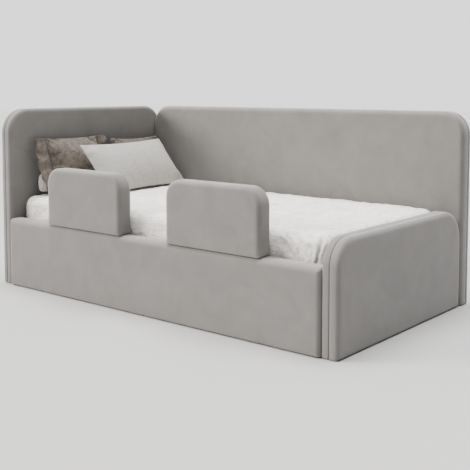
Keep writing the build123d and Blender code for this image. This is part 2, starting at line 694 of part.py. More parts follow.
def along(x0, x1, radius):
    return Pos(x0, 0, 0) * (Rot(0, 90, 0) * extrude(Circle(radius), amount=x1 - x0))


def eye(x, bore):
    ring = extrude(Circle(EYE_RADIUS) - Circle(bore), amount=EYE_WIDTH)
    return Pos(x, 0, -EYE_WIDTH / 2) * ring


def strut_cylinder():
    """Pressure tube: closed at the fixed eye, with a guide for the rod at its mouth."""
    tube = along(EYE_RADIUS - 1, STRUT_TUBE_END, STRUT_RADIUS)
    tube -= along(EYE_RADIUS + TUBE_FLOOR, STRUT_TUBE_END - TUBE_MOUTH, STRUT_RADIUS - TUBE_SHELL)
    tube -= along(STRUT_TUBE_END - ROD_GUIDE, STRUT_TUBE_END + 1, ROD_RADIUS + RUNNING_FIT)
    tube -= extrude(Circle(STRUT_PIN_RADIUS + RUNNING_FIT), amount=2 * EYE_WIDTH, both=True)
    plane, _ = strut_frame()
    return plane * (tube + eye(0, STRUT_PIN_RADIUS + RUNNING_FIT))


def strut_rod():
    """Piston and rod, with an eye at the moving pivot."""
    plane, length = strut_frame()
    bar = along(ROD_TAIL, length - EYE_RADIUS + 1, ROD_RADIUS)
    bar += along(ROD_TAIL, ROD_TAIL + ROD_PISTON, STRUT_RADIUS - TUBE_SHELL - RUNNING_FIT)
    return plane * (bar + eye(length, STRUT_PIN_RADIUS + STRUT_OPEN_GAP))


def save_pair(name, shape):
    save(f"front_{name}", shape)
    save(f"rear_{name}", mirrored(shape))


def make_linkage():
    fit = PIN_RADIUS + RUNNING_FIT
    save_pair("hinge_plate", ground_plate())
    pins = ground_pins()
    save("fixed_pivot_pins", group(pins + [mirrored(one) for one in pins]))
    save_pair("lift_arm", flat_bar((ARM_GROUND, ARM_BASE), ARM_LAYER, ARM_HALF_WIDTH, (fit, fit)))
    save_pair("guide_link", flat_bar(
        (LINK_GROUND, LINK_BASE), LINK_LAYER, LINK_HALF_WIDTH, (fit, PIN_RADIUS + OPEN_PIVOT_GAP)
    ))
    save_pair("strut_cylinder", strut_cylinder())
    save_pair("strut_rod", strut_rod())
    save_pair("base_plate", base_plate())
    pins = base_pins()
    save("moving_pivot_pins", group(pins + [mirrored(one) for one in pins]))


# ---- lift-up base: welded tube frame, bent slats in holders, pull strap --------------------
FRAME_TOP = FRAME_BOTTOM + TUBE
FRAME_HEAD = HEAD_FACE + FRAME_HEAD_GAP
FRAME_FOOT = FOOT_FACE - FRAME_FOOT_GAP
FRAME_FRONT = RAIL_BACK + BASE_PLATE_LAYER + PLATE
FRAME_REAR = 2 * CAVITY_CENTRE - FRAME_FRONT


def make_frame():
    outside = box(FRAME_HEAD, FRAME_FOOT, FRAME_FRONT, FRAME_REAR, FRAME_BOTTOM, FRAME_TOP)
    span = (FRAME_FOOT - FRAME_HEAD - 4 * TUBE) / 3
    windows = []
    for number in range(3):
        x = FRAME_HEAD + TUBE + number * (span + TUBE)
        windows.append(box(
            x, x + span, FRAME_FRONT + TUBE, FRAME_REAR - TUBE, FRAME_BOTTOM - 1, FRAME_TOP + 1
        ))
    hollows = []
    inner_bottom, inner_top = FRAME_BOTTOM + TUBE_WALL, FRAME_TOP - TUBE_WALL
    for y in (FRAME_FRONT, FRAME_REAR - TUBE):
        hollows.append(box(
            FRAME_HEAD + TUBE_WALL, FRAME_FOOT - TUBE_WALL, y + TUBE_WALL, y + TUBE - TUBE_WALL,
            inner_bottom, inner_top,
        ))
    save("base_frame", cut(outside, windows + hollows))


def slat(x):
    """One bent birch slat, higher in its middle than at its ends."""
    y0, y1 = FRAME_FRONT + SLAT_LIFT, FRAME_REAR - SLAT_LIFT
    z0 = FRAME_TOP + SLAT_LIFT
    middle = (y0 + y1) / 2
    low = ThreePointArc((y0, z0), (middle, z0 + SLAT_CAMBER), (y1, z0))
    high_z = z0 + SLAT_THICKNESS
    high = ThreePointArc((y1, high_z), (middle, high_z + SLAT_CAMBER), (y0, high_z))
    edge = Line((y1, z0), (y1, high_z)) + Line((y0, high_z), (y0, z0))
    face = make_face(low + high + edge)
    plane = Plane(origin=(x, 0, 0), x_dir=(0, 1, 0), z_dir=(1, 0, 0))
    return plane * extrude(face, amount=SLAT_WIDTH)


def make_slats():
    first = FRAME_HEAD + SLAT_END_MARGIN
    last = FRAME_FOOT - SLAT_END_MARGIN - SLAT_WIDTH
    step = (last - first) / (SLAT_COUNT - 1)
    starts = [first + number * step for number in range(SLAT_COUNT)]
    slats = [slat(x) for x in starts]
    holders = []
    for x, one in zip(starts, slats):
        for y0 in (FRAME_FRONT + 1, FRAME_REAR - TUBE - 1):
            block = box(
                x - HOLDER_LIP, x + SLAT_WIDTH + HOLDER_LIP, y0, y0 + TUBE,
                FRAME_TOP, FRAME_TOP + HOLDER_HEIGHT,
            )
            holders.append(block - one)
    save("slats", group(slats))
    save("slat_holders", group(holders))


STRAP_WIDTH = 30.0
STRAP_THICKNESS = 2.0
STRAP_TOP = 374.0
STRAP_FOOT_GAP = 9.4      # from the footboard to the strap
STRAP_STEP = 4.0          # above the tube and below the mattress, where it bends


def make_pull_strap():
    """Webbing from the frame's foot end up past the mattress: pull it to lift the base."""
    low, high = FRAME_FOOT, FOOT_FACE - STRAP_FOOT_GAP
    thick = STRAP_THICKNESS
    points = [
        (low, FRAME_BOTTOM + STRAP_STEP),
        (low, FRAME_TOP + STRAP_STEP),
        (high - thick, MATTRESS_BOTTOM - STRAP_STEP),
        (high - thick, STRAP_TOP),
        (high, STRAP_TOP),
        (high, MATTRESS_BOTTOM - STRAP_STEP - thick / 2),
        (low + thick, FRAME_TOP + STRAP_STEP - thick / 2),
        (low + thick, FRAME_BOTTOM + STRAP_STEP),
    ]
    plane = Plane(
        origin=(0, CAVITY_CENTRE - STRAP_WIDTH / 2, 0), x_dir=(1, 0, 0), z_dir=(0, -1, 0)
    )
    strap = plane * extrude(make_face(Polyline(*points, close=True)), amount=-STRAP_WIDTH)
    save("pull_strap", strap)


# ---- mattress and bedding ----------------------------------------------------------------------
MATTRESS_HEAD = HEAD_FACE + MATTRESS_GAPS[0]
MATTRESS_FOOT = FOOT_FACE - MATTRESS_GAPS[1]
MATTRESS_FRONT = RAIL_BACK + MATTRESS_GAPS[2]
MATTRESS_REAR = BACK_FACE - MATTRESS_GAPS[3]


def make_mattress():
    outside = box(
        MATTRESS_HEAD, MATTRESS_FOOT, MATTRESS_FRONT, MATTRESS_REAR, MATTRESS_BOTTOM, MATTRESS_TOP
    )
    outside = fillet(outside.edges().filter_by(Axis.Z), MATTRESS_CORNER)
    outside = fillet(outside.faces().sort_by(Axis.Z)[-1].edges(), MATTRESS_EDGE)
    inside = box(
        MATTRESS_HEAD + COVER_THICKNESS, MATTRESS_FOOT - COVER_THICKNESS,
        MATTRESS_FRONT + COVER_THICKNESS, MATTRESS_REAR - COVER_THICKNESS,
        MATTRESS_BOTTOM, MATTRESS_TOP - COVER_THICKNESS,
    )
    inside = fillet(inside.edges().filter_by(Axis.Z), MATTRESS_CORNER - COVER_THICKNESS)
    inside = fillet(inside.faces().sort_by(Axis.Z)[-1].edges(), MATTRESS_EDGE - COVER_THICKNESS)
    save("mattress", inside)
    save("bed_cover", outside - inside)


# A pillow's thickness follows a circular arc both ways, down to a blunt edge.
PILLOW_EDGE = 16.0
# name: (width, height), thickness, middle of the foot, lean back, turn about Z
PILLOWS = {
    "brown_pillow_1": ((410.0, 246.0), 100.0, (-690.0, -130.0, 400.0), 18.5, 0.0),
    "brown_pillow_2": ((300.0, 224.0), 70.0, (-708.0, 242.0, 398.0), 15.5, 0.0),
    "white_pillow": ((400.0, 66.0), 50.0, (-774.0, -145.0, 389.5), 1.0, 0.0),
    "grey_pillow": ((575.0, 262.0), 72.0, (-528.0, 106.0, 400.0), 38.2, 8.2),
}


def bulge(length, thick):
    """A face over its length, with an arc on each side and blunt ends."""
    half, edge = thick / 2, PILLOW_EDGE / 2
    front = ThreePointArc((0, edge), (length / 2, half), (length, edge))
    back = ThreePointArc((length, -edge), (length / 2, -half), (0, -edge))
    ends = Line((length, edge), (length, -edge)) + Line((0, -edge), (0, edge))
    return make_face(front + back + ends)


def pillow(size, thick, foot, lean, turn):
    """A pillow that stands on its long edge and leans back towards the headboard."""
    width, height = size
    upright = Plane(origin=(0, -width / 2, 0), x_dir=(0, 0, 1), z_dir=(0, 1, 0))
    across = Plane(origin=(0, -width / 2, height), x_dir=(0, 1, 0), z_dir=(0, 0, -1))
    body = upright * extrude(bulge(height, thick), amount=width)
    body = body & (across * extrude(bulge(width, 1.15 * thick), amount=height))
    return Pos(*foot) * (Rot(0, 0, turn) * (Rot(0, -lean, 0) * body))


def make_pillows():
    for name, (size, thick, foot, lean, turn) in PILLOWS.items():
        save(name, pillow(size, thick, foot, lean, turn))


if __name__ == "__main__":
    make_headboard()
    make_footboard()
    make_backrest()
    make_rail()
    for index, guard_start in enumerate(GUARD_STARTS, start=1):
        make_guard(index, guard_start)
    make_storage_box()
    make_linkage()
    make_frame()
    make_slats()
    make_pull_strap()
    make_mattress()
    make_pillows()
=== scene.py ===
import json
import math

import bmesh
import bpy
import numpy as np
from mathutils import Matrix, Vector, noise


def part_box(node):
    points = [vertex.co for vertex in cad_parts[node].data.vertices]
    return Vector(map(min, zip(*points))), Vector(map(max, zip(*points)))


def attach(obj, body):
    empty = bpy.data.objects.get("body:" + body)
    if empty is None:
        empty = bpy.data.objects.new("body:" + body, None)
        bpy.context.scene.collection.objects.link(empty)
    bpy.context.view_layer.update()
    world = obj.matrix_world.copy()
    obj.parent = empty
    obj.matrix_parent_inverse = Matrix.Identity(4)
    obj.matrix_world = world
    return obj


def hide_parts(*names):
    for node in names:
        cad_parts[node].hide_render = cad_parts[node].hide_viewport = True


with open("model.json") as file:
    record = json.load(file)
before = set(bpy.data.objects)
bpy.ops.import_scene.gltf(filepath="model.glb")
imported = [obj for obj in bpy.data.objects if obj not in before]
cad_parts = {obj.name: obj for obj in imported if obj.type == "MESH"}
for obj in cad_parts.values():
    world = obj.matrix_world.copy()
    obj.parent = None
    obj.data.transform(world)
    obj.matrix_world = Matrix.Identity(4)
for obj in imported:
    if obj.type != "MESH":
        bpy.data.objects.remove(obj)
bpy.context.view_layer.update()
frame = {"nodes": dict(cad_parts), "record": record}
NODES = frame["nodes"]

MM = 0.001


# ---- stage: camera, floor and lights ---------------------------------------------------------
CAMERA_PLACE = (2.2661, -2.6737, 0.8575)
CAMERA_AZIMUTH = 39.43          # degrees, from +Y towards -X
CAMERA_TILT = 4.26              # degrees below the horizon
CAMERA_SHIFT = -0.18
LENS = 65.06
SENSOR_WIDTH = 36.0


def make_camera():
    data = bpy.data.cameras.new("camera")
    data.sensor_width = SENSOR_WIDTH
    data.lens = LENS
    data.shift_y = CAMERA_SHIFT
    data.clip_end = 100.0
    camera = bpy.data.objects.new("camera", data)
    camera.location = CAMERA_PLACE
    camera.rotation_euler = (
        math.radians(90.0 - CAMERA_TILT), 0.0, math.radians(CAMERA_AZIMUTH)
    )
    bpy.context.collection.objects.link(camera)
    bpy.context.scene.camera = camera


# each light's place in metres, how many degrees wide it looks, strength and colour
KEY_PLACE, KEY_SPREAD, KEY_STRENGTH = (-2.4, -1.9, 1.25), 26.0, 6.2
KEY_COLOUR = (1.0, 0.945, 0.89)
TOP_PLACE, TOP_SPREAD, TOP_STRENGTH = (-0.3, 0.2, 5.0), 50.0, 9.0
TOP_COLOUR = (1.0, 0.985, 0.965)


def soft_sun(name, place, spread, strength, colour):
    """A large soft box far away: it lights the bed and the whole floor alike."""
    data = bpy.data.lights.new(name, "SUN")
    data.angle = math.radians(spread)
    data.energy = strength
    data.color = colour
    light = bpy.data.objects.new(name, data)
    light.location = place
    light.rotation_euler = (-Vector(place)).to_track_quat("-Z", "Y").to_euler()
    bpy.context.collection.objects.link(light)


WORLD_DIM, WORLD_BRIGHT = 0.38, 1.75   # strength round the bed, and on its bright side
BRIGHT_SIDE = (-0.64, 0.77, 0.0)   # behind the bed, as the camera sees it
BRIGHT_REACH = 0.8                 # fully bright where the cosine to that side is this


def make_world():
    """A soft studio surround, brighter on the backdrop's side."""
    world = bpy.data.worlds.new("studio")
    world.use_nodes = True
    tree = world.node_tree
    coords = tree.nodes.new("ShaderNodeTexCoord")
    towards = tree.nodes.new("ShaderNodeVectorMath")
    towards.operation = "DOT_PRODUCT"
    towards.inputs[1].default_value = BRIGHT_SIDE
    spread = tree.nodes.new("ShaderNodeMapRange")
    spread.interpolation_type = "SMOOTHSTEP"
    spread.inputs["From Min"].default_value = 0.0
    spread.inputs["From Max"].default_value = BRIGHT_REACH
    spread.inputs["To Min"].default_value = WORLD_DIM
    spread.inputs["To Max"].default_value = WORLD_BRIGHT
    tree.links.new(coords.outputs["Generated"], towards.inputs[0])
    tree.links.new(towards.outputs["Value"], spread.inputs["Value"])
    background = tree.nodes["Background"]
    background.inputs["Color"].default_value = (1.0, 1.0, 1.0, 1.0)
    tree.links.new(spread.outputs["Result"], background.inputs["Strength"])
    bpy.context.scene.world = world


def make_lights():
    """A low warm key from the front left, and a wide soft light overhead."""
    soft_sun("key", KEY_PLACE, KEY_SPREAD, KEY_STRENGTH, KEY_COLOUR)
    soft_sun("overhead", TOP_PLACE, TOP_SPREAD, TOP_STRENGTH, TOP_COLOUR)


FLOOR_HALF = 25.0               # metres from the bed to the floor's edge


def make_floor():
    """A plain pale floor, so wide that its edge is out of sight."""
    mesh = bpy.data.meshes.new("floor")
    corners = [(x * FLOOR_HALF, y * FLOOR_HALF, 0) for x, y in ((-1, -1), (1, -1), (1, 1), (-1, 1))]
    mesh.from_pydata(corners, [], [(0, 1, 2, 3)])
    floor = bpy.data.objects.new("floor", mesh)
    mesh.materials.append(floor_paint())
    bpy.context.collection.objects.link(floor)


# ---- materials -------------------------------------------------------------------------------
PAINTED_SHADE_ATTRIBUTE = "fold"                   # a point attribute: above 0 in a hollow, below 0 on an edge; materials turn it into painted shade in hollows and painted highlight on edges
WHITE = (1.0, 1.0, 1.0)


class Shader:
    """A principled material and the few nodes that its looks are made of."""

    def __init__(self, name, roughness=0.8, metallic=0.0, **sockets):
        self.material = bpy.data.materials.new(name)
        self.material.use_nodes = True
        self.tree = self.material.node_tree
        self.surface = self.tree.nodes["Principled BSDF"]
        self.surface.inputs["Roughness"].default_value = roughness
        self.surface.inputs["Metallic"].default_value = metallic
        for socket, value in sockets.items():
            self.surface.inputs[socket.replace("_", " ")].default_value = value
        self.coords = self.tree.nodes.new("ShaderNodeTexCoord").outputs["Object"]

    def node(self, kind, **values):
        made = self.tree.nodes.new(kind)
        for key, value in values.items():
            setattr(made, key, value)
        return made

    def link(self, output, socket):
        self.tree.links.new(output, socket)

    def stretched(self, scale, turn=(0.0, 0.0, 0.0)):
        """Object coordinates, scaled and turned."""
        mapping = self.node("ShaderNodeMapping")
        mapping.inputs["Scale"].default_value = scale
        mapping.inputs["Rotation"].default_value = turn
        self.link(self.coords, mapping.inputs["Vector"])
        return mapping.outputs["Vector"]

    def noise(self, scale, detail=2.0, roughness=0.5, distortion=0.0, vector=None):
        made = self.node("ShaderNodeTexNoise")
        made.inputs["Scale"].default_value = scale
        made.inputs["Detail"].default_value = detail
        made.inputs["Roughness"].default_value = roughness
        made.inputs["Distortion"].default_value = distortion
        self.link(vector or self.coords, made.inputs["Vector"])
        return made.outputs["Fac"]

    def waves(self, scale, direction, distortion=0.0):
        made = self.node("ShaderNodeTexWave", bands_direction=direction)
        made.inputs["Scale"].default_value = scale
        made.inputs["Distortion"].default_value = distortion
        self.link(self.coords, made.inputs["Vector"])
        return made.outputs["Fac"]

    def ramp(self, factor, *stops):
        """A colour for each value of factor, from stops of (place, colour)."""
        made = self.node("ShaderNodeValToRGB")
        elements = made.color_ramp.elements
        while len(elements) < len(stops):
            elements.new(0.5)
        for element, (place, colour) in zip(elements, stops):
            element.position = place
            element.color = (*colour, 1.0)
        self.link(factor, made.inputs["Fac"])
        return made.outputs["Color"]

    def mix(self, first, second, amount=1.0):
        """first, darkened by second."""
        made = self.node("ShaderNodeMix", data_type="RGBA", blend_type="MULTIPLY")
        made.inputs["Factor"].default_value = amount
        self.link(first, made.inputs["A"])
        self.link(second, made.inputs["B"])
        return made.outputs["Result"]

    def combine(self, first, second, operation="ADD", weight=1.0):
        """first (operation) second * weight, for heights."""
        scaled = self.node("ShaderNodeMath", operation="MULTIPLY")
        scaled.inputs[1].default_value = weight
        self.link(second, scaled.inputs[0])
        made = self.node("ShaderNodeMath", operation=operation)
        self.link(first, made.inputs[0])
        self.link(scaled.outputs[0], made.inputs[1])
        return made.outputs[0]

    def thin_lines(self, factor, width, dark):
        """White, with thin dark lines along the middle value of a noise."""
        return self.ramp(factor, (0.5 - width, WHITE), (0.5, dark), (0.5 + width, WHITE))

    def with_painted_shade(self, colour, hollow, crest):
        """Paints light and shade into a colour by the mesh's own folds: hollow is the painted shade
        in its creases, crest the painted highlight on its edges.
        """
        fold = self.node("ShaderNodeAttribute", attribute_name=PAINTED_SHADE_ATTRIBUTE)
        share = self.node("ShaderNodeMapRange")
        share.inputs["From Min"].default_value = -1.0
        self.link(fold.outputs["Fac"], share.inputs["Value"])
        tone = self.ramp(
            share.outputs["Result"], (0.0, (crest,) * 3), (0.5, WHITE), (1.0, (hollow,) * 3)
        )
        return self.mix(colour, tone)

    def spread(self, factor, low, high):
        """factor, which runs from 0 to 1, as a value from low to high."""
        made = self.node("ShaderNodeMapRange")
        made.inputs["To Min"].default_value = low
        made.inputs["To Max"].default_value = high
        self.link(factor, made.inputs["Value"])
        return made.outputs["Result"]

    def finish(self, colour, height=None, strength=0.3, distance=0.5 * MM, roughness=None):
        """Links a colour, and the height of a bump that is at most distance deep."""
        self.link(colour, self.surface.inputs["Base Color"])
        if roughness is not None:
            self.link(roughness, self.surface.inputs["Roughness"])
        if height is not None:
            bump = self.node("ShaderNodeBump")
            bump.inputs["Strength"].default_value = strength
            bump.inputs["Distance"].default_value = distance
            self.link(height, bump.inputs["Height"])
            self.link(bump.outputs["Normal"], self.surface.inputs["Normal"])
        return self.material


def shade(colour, factor):
    """A lighter or darker colour."""
    return tuple(min(1.0, c * factor) for c in colour)


def velvet():
    """Short warm grey pile: brushed patches, fine fibres, a soft sheen, and painted shade in its
    hollows and painted highlight on its edges.
    """
    s = Shader(
        "velvet", 0.88, Sheen_Weight=0.35, Sheen_Roughness=0.45,
        Sheen_Tint=(1.0, 0.98, 0.96, 1.0), Specular_IOR_Level=0.2,
    )
    base = (0.172, 0.166, 0.160)
    patches = s.noise(8.0, 4.0, 0.6, 0.8)
    colour = s.ramp(patches, (0.30, shade(base, 0.91)), (0.50, base), (0.70, shade(base, 1.09)))
    brushed = s.noise(1.0, 4.0, 0.6, 0.8, s.stretched((26.0, 26.0, 12.0)))
    streaks = s.ramp(brushed, (0.3, (0.95, 0.95, 0.95)), (0.7, WHITE))
    colour = s.mix(colour, streaks)
    # painted shade in the hollows, painted highlight along the edges
    colour = s.with_painted_shade(colour, 0.70, 1.45)
    fibres = s.noise(1400.0, 2.0, 0.7)
    grain = s.ramp(fibres, (0.25, (0.90, 0.90, 0.90)), (0.75, WHITE))
    colour = s.mix(colour, grain)
    height = s.combine(fibres, s.noise(70.0, 3.0, 0.6), "ADD", 1.4)
    return s.finish(colour, height, 0.35, 0.6 * MM)


def cotton():
    """Warm white crinkled cotton: long creases and upright pleats at the sides, with painted shade
    along them and in its folds, and fine threads.
    """
    s = Shader("cotton", 0.85, Sheen_Weight=0.12, Sheen_Roughness=0.6, Specular_IOR_Level=0.25)
    base = (0.875, 0.852, 0.815)
    tone = s.noise(5.0, 3.0, 0.5, 0.4)
    colour = s.ramp(tone, (0.3, shade(base, 0.95)), (0.7, base))
    creases = s.noise(1.0, 4.0, 0.6, 1.2, s.stretched((11.0, 44.0, 40.0), (0.0, 0.0, 0.12)))
    # thin dark lines along the creases: painted shade
    lines = s.thin_lines(creases, 0.06, (0.66, 0.64, 0.61))
    colour = s.mix(colour, lines, 0.75)
    pleats = s.noise(1.0, 3.0, 0.55, 0.2, s.stretched((150.0, 150.0, 7.0)))
    # darker bands along the upright pleats: painted shade
    shades = s.ramp(pleats, (0.34, (0.80, 0.78, 0.76)), (0.52, WHITE))
    colour = s.mix(colour, shades, 0.55)
    # painted shade in the folds
    colour = s.with_painted_shade(colour, 0.42, 1.0)
    threads = s.combine(s.waves(520.0, "X", 1.0), s.waves(520.0, "Y", 1.0), "ADD", 1.0)
    threads = s.combine(threads, s.waves(520.0, "Z", 1.0), "ADD", 1.0)
    height = s.combine(s.combine(creases, pleats, "ADD", 0.35), threads, "ADD", 0.03)
    return s.finish(colour, height, 0.8, 5.0 * MM)


def brown_plush():
    """Taupe plush with a faint mottled damask."""
    s = Shader("brown_plush", 0.9, Sheen_Weight=0.3, Sheen_Roughness=0.4, Specular_IOR_Level=0.2)
    base = (0.113, 0.096, 0.081)
    motif = s.noise(26.0, 4.0, 0.62, 2.2)
    colour = s.ramp(
        motif, (0.34, shade(base, 0.68)), (0.48, base), (0.60, shade(base, 1.35)),
        (0.72, shade(base, 0.9)),
    )
    pile = s.noise(700.0, 2.0, 0.6)
    grain = s.ramp(pile, (0.3, (0.86, 0.86, 0.86)), (0.7, WHITE))
    colour = s.mix(colour, grain)
    # painted shade in the hollows, painted highlight along the edges
    colour = s.with_painted_shade(colour, 0.35, 1.25)
    height = s.combine(s.noise(60.0, 3.0, 0.6, 0.8), pile, "ADD", 0.25)
    return s.finish(colour, height, 0.6, 1.6 * MM)


def grey_weave():
    """Light grey linen look: thick and thin threads both ways."""
    s = Shader("grey_weave", 0.9, Sheen_Weight=0.1, Specular_IOR_Level=0.2)
    base = (0.350, 0.336, 0.318)
    across = s.noise(1.0, 3.0, 0.6, 0.2, s.stretched((60.0, 24.0, 300.0)))
    down = s.noise(1.0, 3.0, 0.6, 0.2, s.stretched((240.0, 300.0, 24.0)))
    threads = s.combine(across, down, "MULTIPLY", 2.0)
    colour = s.ramp(threads, (0.30, shade(base, 0.88)), (0.50, base), (0.70, shade(base, 1.12)))
    # painted shade in the hollows, painted highlight along the edges
    colour = s.with_painted_shade(colour, 0.5, 1.1)
    height = s.combine(threads, s.noise(24.0, 3.0, 0.6, 0.6), "ADD", 1.5)
    return s.finish(colour, height, 0.5, 1.1 * MM)


def ticking():
    """The mattress's own cover, seen from below."""
    s = Shader("ticking", 0.9, Specular_IOR_Level=0.2)
    stripes = s.waves(14.0, "Y")
    colour = s.ramp(stripes, (0.42, (0.62, 0.60, 0.56)), (0.5, (0.74, 0.72, 0.68)))
    height = s.combine(stripes, s.noise(300.0), "ADD", 0.4)
    return s.finish(colour, height, 0.3, 0.6 * MM)


def webbing():
    s = Shader("webbing", 0.7, Specular_IOR_Level=0.3)
    ribs = s.waves(260.0, "Z")
    colour = s.ramp(ribs, (0.3, (0.035, 0.035, 0.038)), (0.7, (0.075, 0.075, 0.08)))
    return s.finish(colour, ribs, 0.6, 0.5 * MM)


def wood(name, light, dark, grain_scale, roughness=0.5):
    """Planed wood or veneer: stretched rings, fine pores and a satin lacquer."""
    s = Shader(name, roughness, Specular_IOR_Level=0.4, Coat_Weight=0.08, Coat_Roughness=0.4)
    vector = s.stretched(grain_scale)
    rings = s.noise(1.0, 6.0, 0.62, 0.9, vector)
    colour = s.ramp(rings, (0.30, dark), (0.50, shade(light, 0.94)), (0.70, light))
    pores = s.noise(9.0, 2.0, 0.7, 0.0, vector)
    spots = s.ramp(pores, (0.34, (0.84, 0.82, 0.80)), (0.48, WHITE))
    colour = s.mix(colour, spots)
    height = s.combine(rings, pores, "ADD", 0.5)
    return s.finish(colour, height, 0.25, 0.3 * MM)


def powder_coat(name, colour):
    """Fine textured powder paint."""
    s = Shader(name, 0.42, Specular_IOR_Level=0.5)
    speckle = s.noise(1600.0, 2.0, 0.6)
    tone = s.ramp(speckle, (0.3, shade(colour, 0.8)), (0.7, shade(colour, 1.3)))
    rough = s.spread(s.noise(14.0), 0.36, 0.52)
    return s.finish(tone, speckle, 0.25, 0.25 * MM, rough)


def zinc():
    """Bright zinc plate with a cloudy passivation."""
    s = Shader("zinc", 0.35, 1.0)
    clouds = s.noise(45.0, 3.0, 0.6, 0.5)
    colour = s.ramp(clouds, (0.3, (0.56, 0.57, 0.58)), (0.7, (0.70, 0.71, 0.70)))
    rough = s.spread(s.noise(260.0, 3.0), 0.26, 0.48)
    return s.finish(colour, s.noise(500.0), 0.1, 0.1 * MM, rough)


def chrome():
    s = Shader("chrome", 0.1, 1.0)
    lines = s.noise(1.0, 2.0, 0.5, 0.0, s.stretched((900.0, 900.0, 900.0)))
    colour = s.ramp(lines, (0.3, (0.74, 0.74, 0.76)), (0.7, (0.82, 0.82, 0.83)))
    return s.finish(colour, None, roughness=s.spread(lines, 0.07, 0.16))


def black_plastic():
    s = Shader("black_plastic", 0.5, Specular_IOR_Level=0.45)
    grain = s.noise(1100.0, 2.0, 0.6)
    colour = s.ramp(grain, (0.3, (0.022, 0.022, 0.023)), (0.7, (0.040, 0.040, 0.042)))
    return s.finish(colour, grain, 0.3, 0.2 * MM, s.spread(s.noise(20.0), 0.42, 0.58))


def floor_paint():
    s = Shader("floor", 0.75, Specular_IOR_Level=0.15)
    tone = s.noise(0.7, 2.0)
    colour = s.ramp(tone, (0.3, (0.37, 0.37, 0.37)), (0.7, (0.39, 0.39, 0.39)))
    return s.finish(colour)


LOOKS = {
    "velvet": velvet(),
    "bedding": cotton(),
    "brown_plush": brown_plush(),
    "grey_weave": grey_weave(),
    "foam": ticking(),
    "webbing": webbing(),
    "board": wood("board", (0.58, 0.43, 0.27), (0.42, 0.29, 0.17), (3.0, 40.0, 40.0)),
    "birch": wood("birch", (0.74, 0.58, 0.39), (0.62, 0.46, 0.29), (60.0, 2.5, 90.0)),
    "lining": wood("lining", (0.66, 0.65, 0.62), (0.60, 0.59, 0.56), (2.0, 50.0, 50.0), 0.45),
    "black_steel": powder_coat("black_steel", (0.030, 0.030, 0.032)),
    "zinc": zinc(),
    "chrome_rod": chrome(),
    "black_plastic": black_plastic(),
}


# ---- mesh helpers ----------------------------------------------------------------------------
def new_object(name, vertices, faces, material, body, slot, *replaced):
    """A smooth mesh object that rides on a body and stands for CAD nodes."""
    mesh = bpy.data.meshes.new(name)
    mesh.from_pydata([tuple(v) for v in vertices], [], faces)
    mesh.update()
    obj = bpy.data.objects.new(name, mesh)
    bpy.context.collection.objects.link(obj)
    tidy = bmesh.new()
    tidy.from_mesh(mesh)
    bmesh.ops.recalc_face_normals(tidy, faces=tidy.faces)
    tidy.to_mesh(mesh)
    tidy.free()
    mesh.materials.append(material)
    mesh.polygons.foreach_set("use_smooth", [True] * len(mesh.polygons))
    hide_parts(*replaced)
    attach(obj, body)
    return obj


def mark_painted_shade(obj, gain):
    """Stores how hollow or how edged the mesh is at each point, for the painted shade and painted
    highlight of its material.
    """
    mesh = obj.data
    count = len(mesh.vertices)
    points = np.empty(count * 3)
    mesh.vertices.foreach_get("co", points)
    points = points.reshape(-1, 3)
    normals = np.array([v.normal for v in mesh.vertices])
    ends = np.empty(len(mesh.edges) * 2, dtype=np.int64)
    mesh.edges.foreach_get("vertices", ends)
    ends = ends.reshape(-1, 2)
    pull = np.zeros((count, 3))
    near = np.zeros(count)
    for a, b in ((0, 1), (1, 0)):
        way = points[ends[:, b]] - points[ends[:, a]]
        length = np.maximum(np.linalg.norm(way, axis=1), 0.1 * MM)
        np.add.at(pull, ends[:, a], way / length[:, None])
        np.add.at(near, ends[:, a], 1.0)
    hollow = (pull * normals).sum(axis=1) / np.maximum(near, 1.0)
    softened = hollow.copy()
    for a, b in ((0, 1), (1, 0)):
        np.add.at(softened, ends[:, a], hollow[ends[:, b]])
    softened /= near + 1.0
    fold = mesh.attributes.new(PAINTED_SHADE_ATTRIBUTE, "FLOAT", "POINT")
    fold.data.foreach_set("value", np.clip(softened * gain, -1.0, 1.0))


EDGE_STATIONS = (0.0, 0.6, 1.8, 3.8, 6.5, 10.0, 14.5, 20.0, 27.0, 36.0)   # millimetres


def stations(length, cell):
    """Places along a side: close together near both ends, even in the middle. In metres."""
    near = [step * MM for step in EDGE_STATIONS]
    start, end = near[-1], length - near[-1]
    count = max(2, round((end - start) / cell))
    middle = [start + (end - start) * k / count for k in range(1, count)]
    return np.array(near + middle + [length - step for step in reversed(near)])


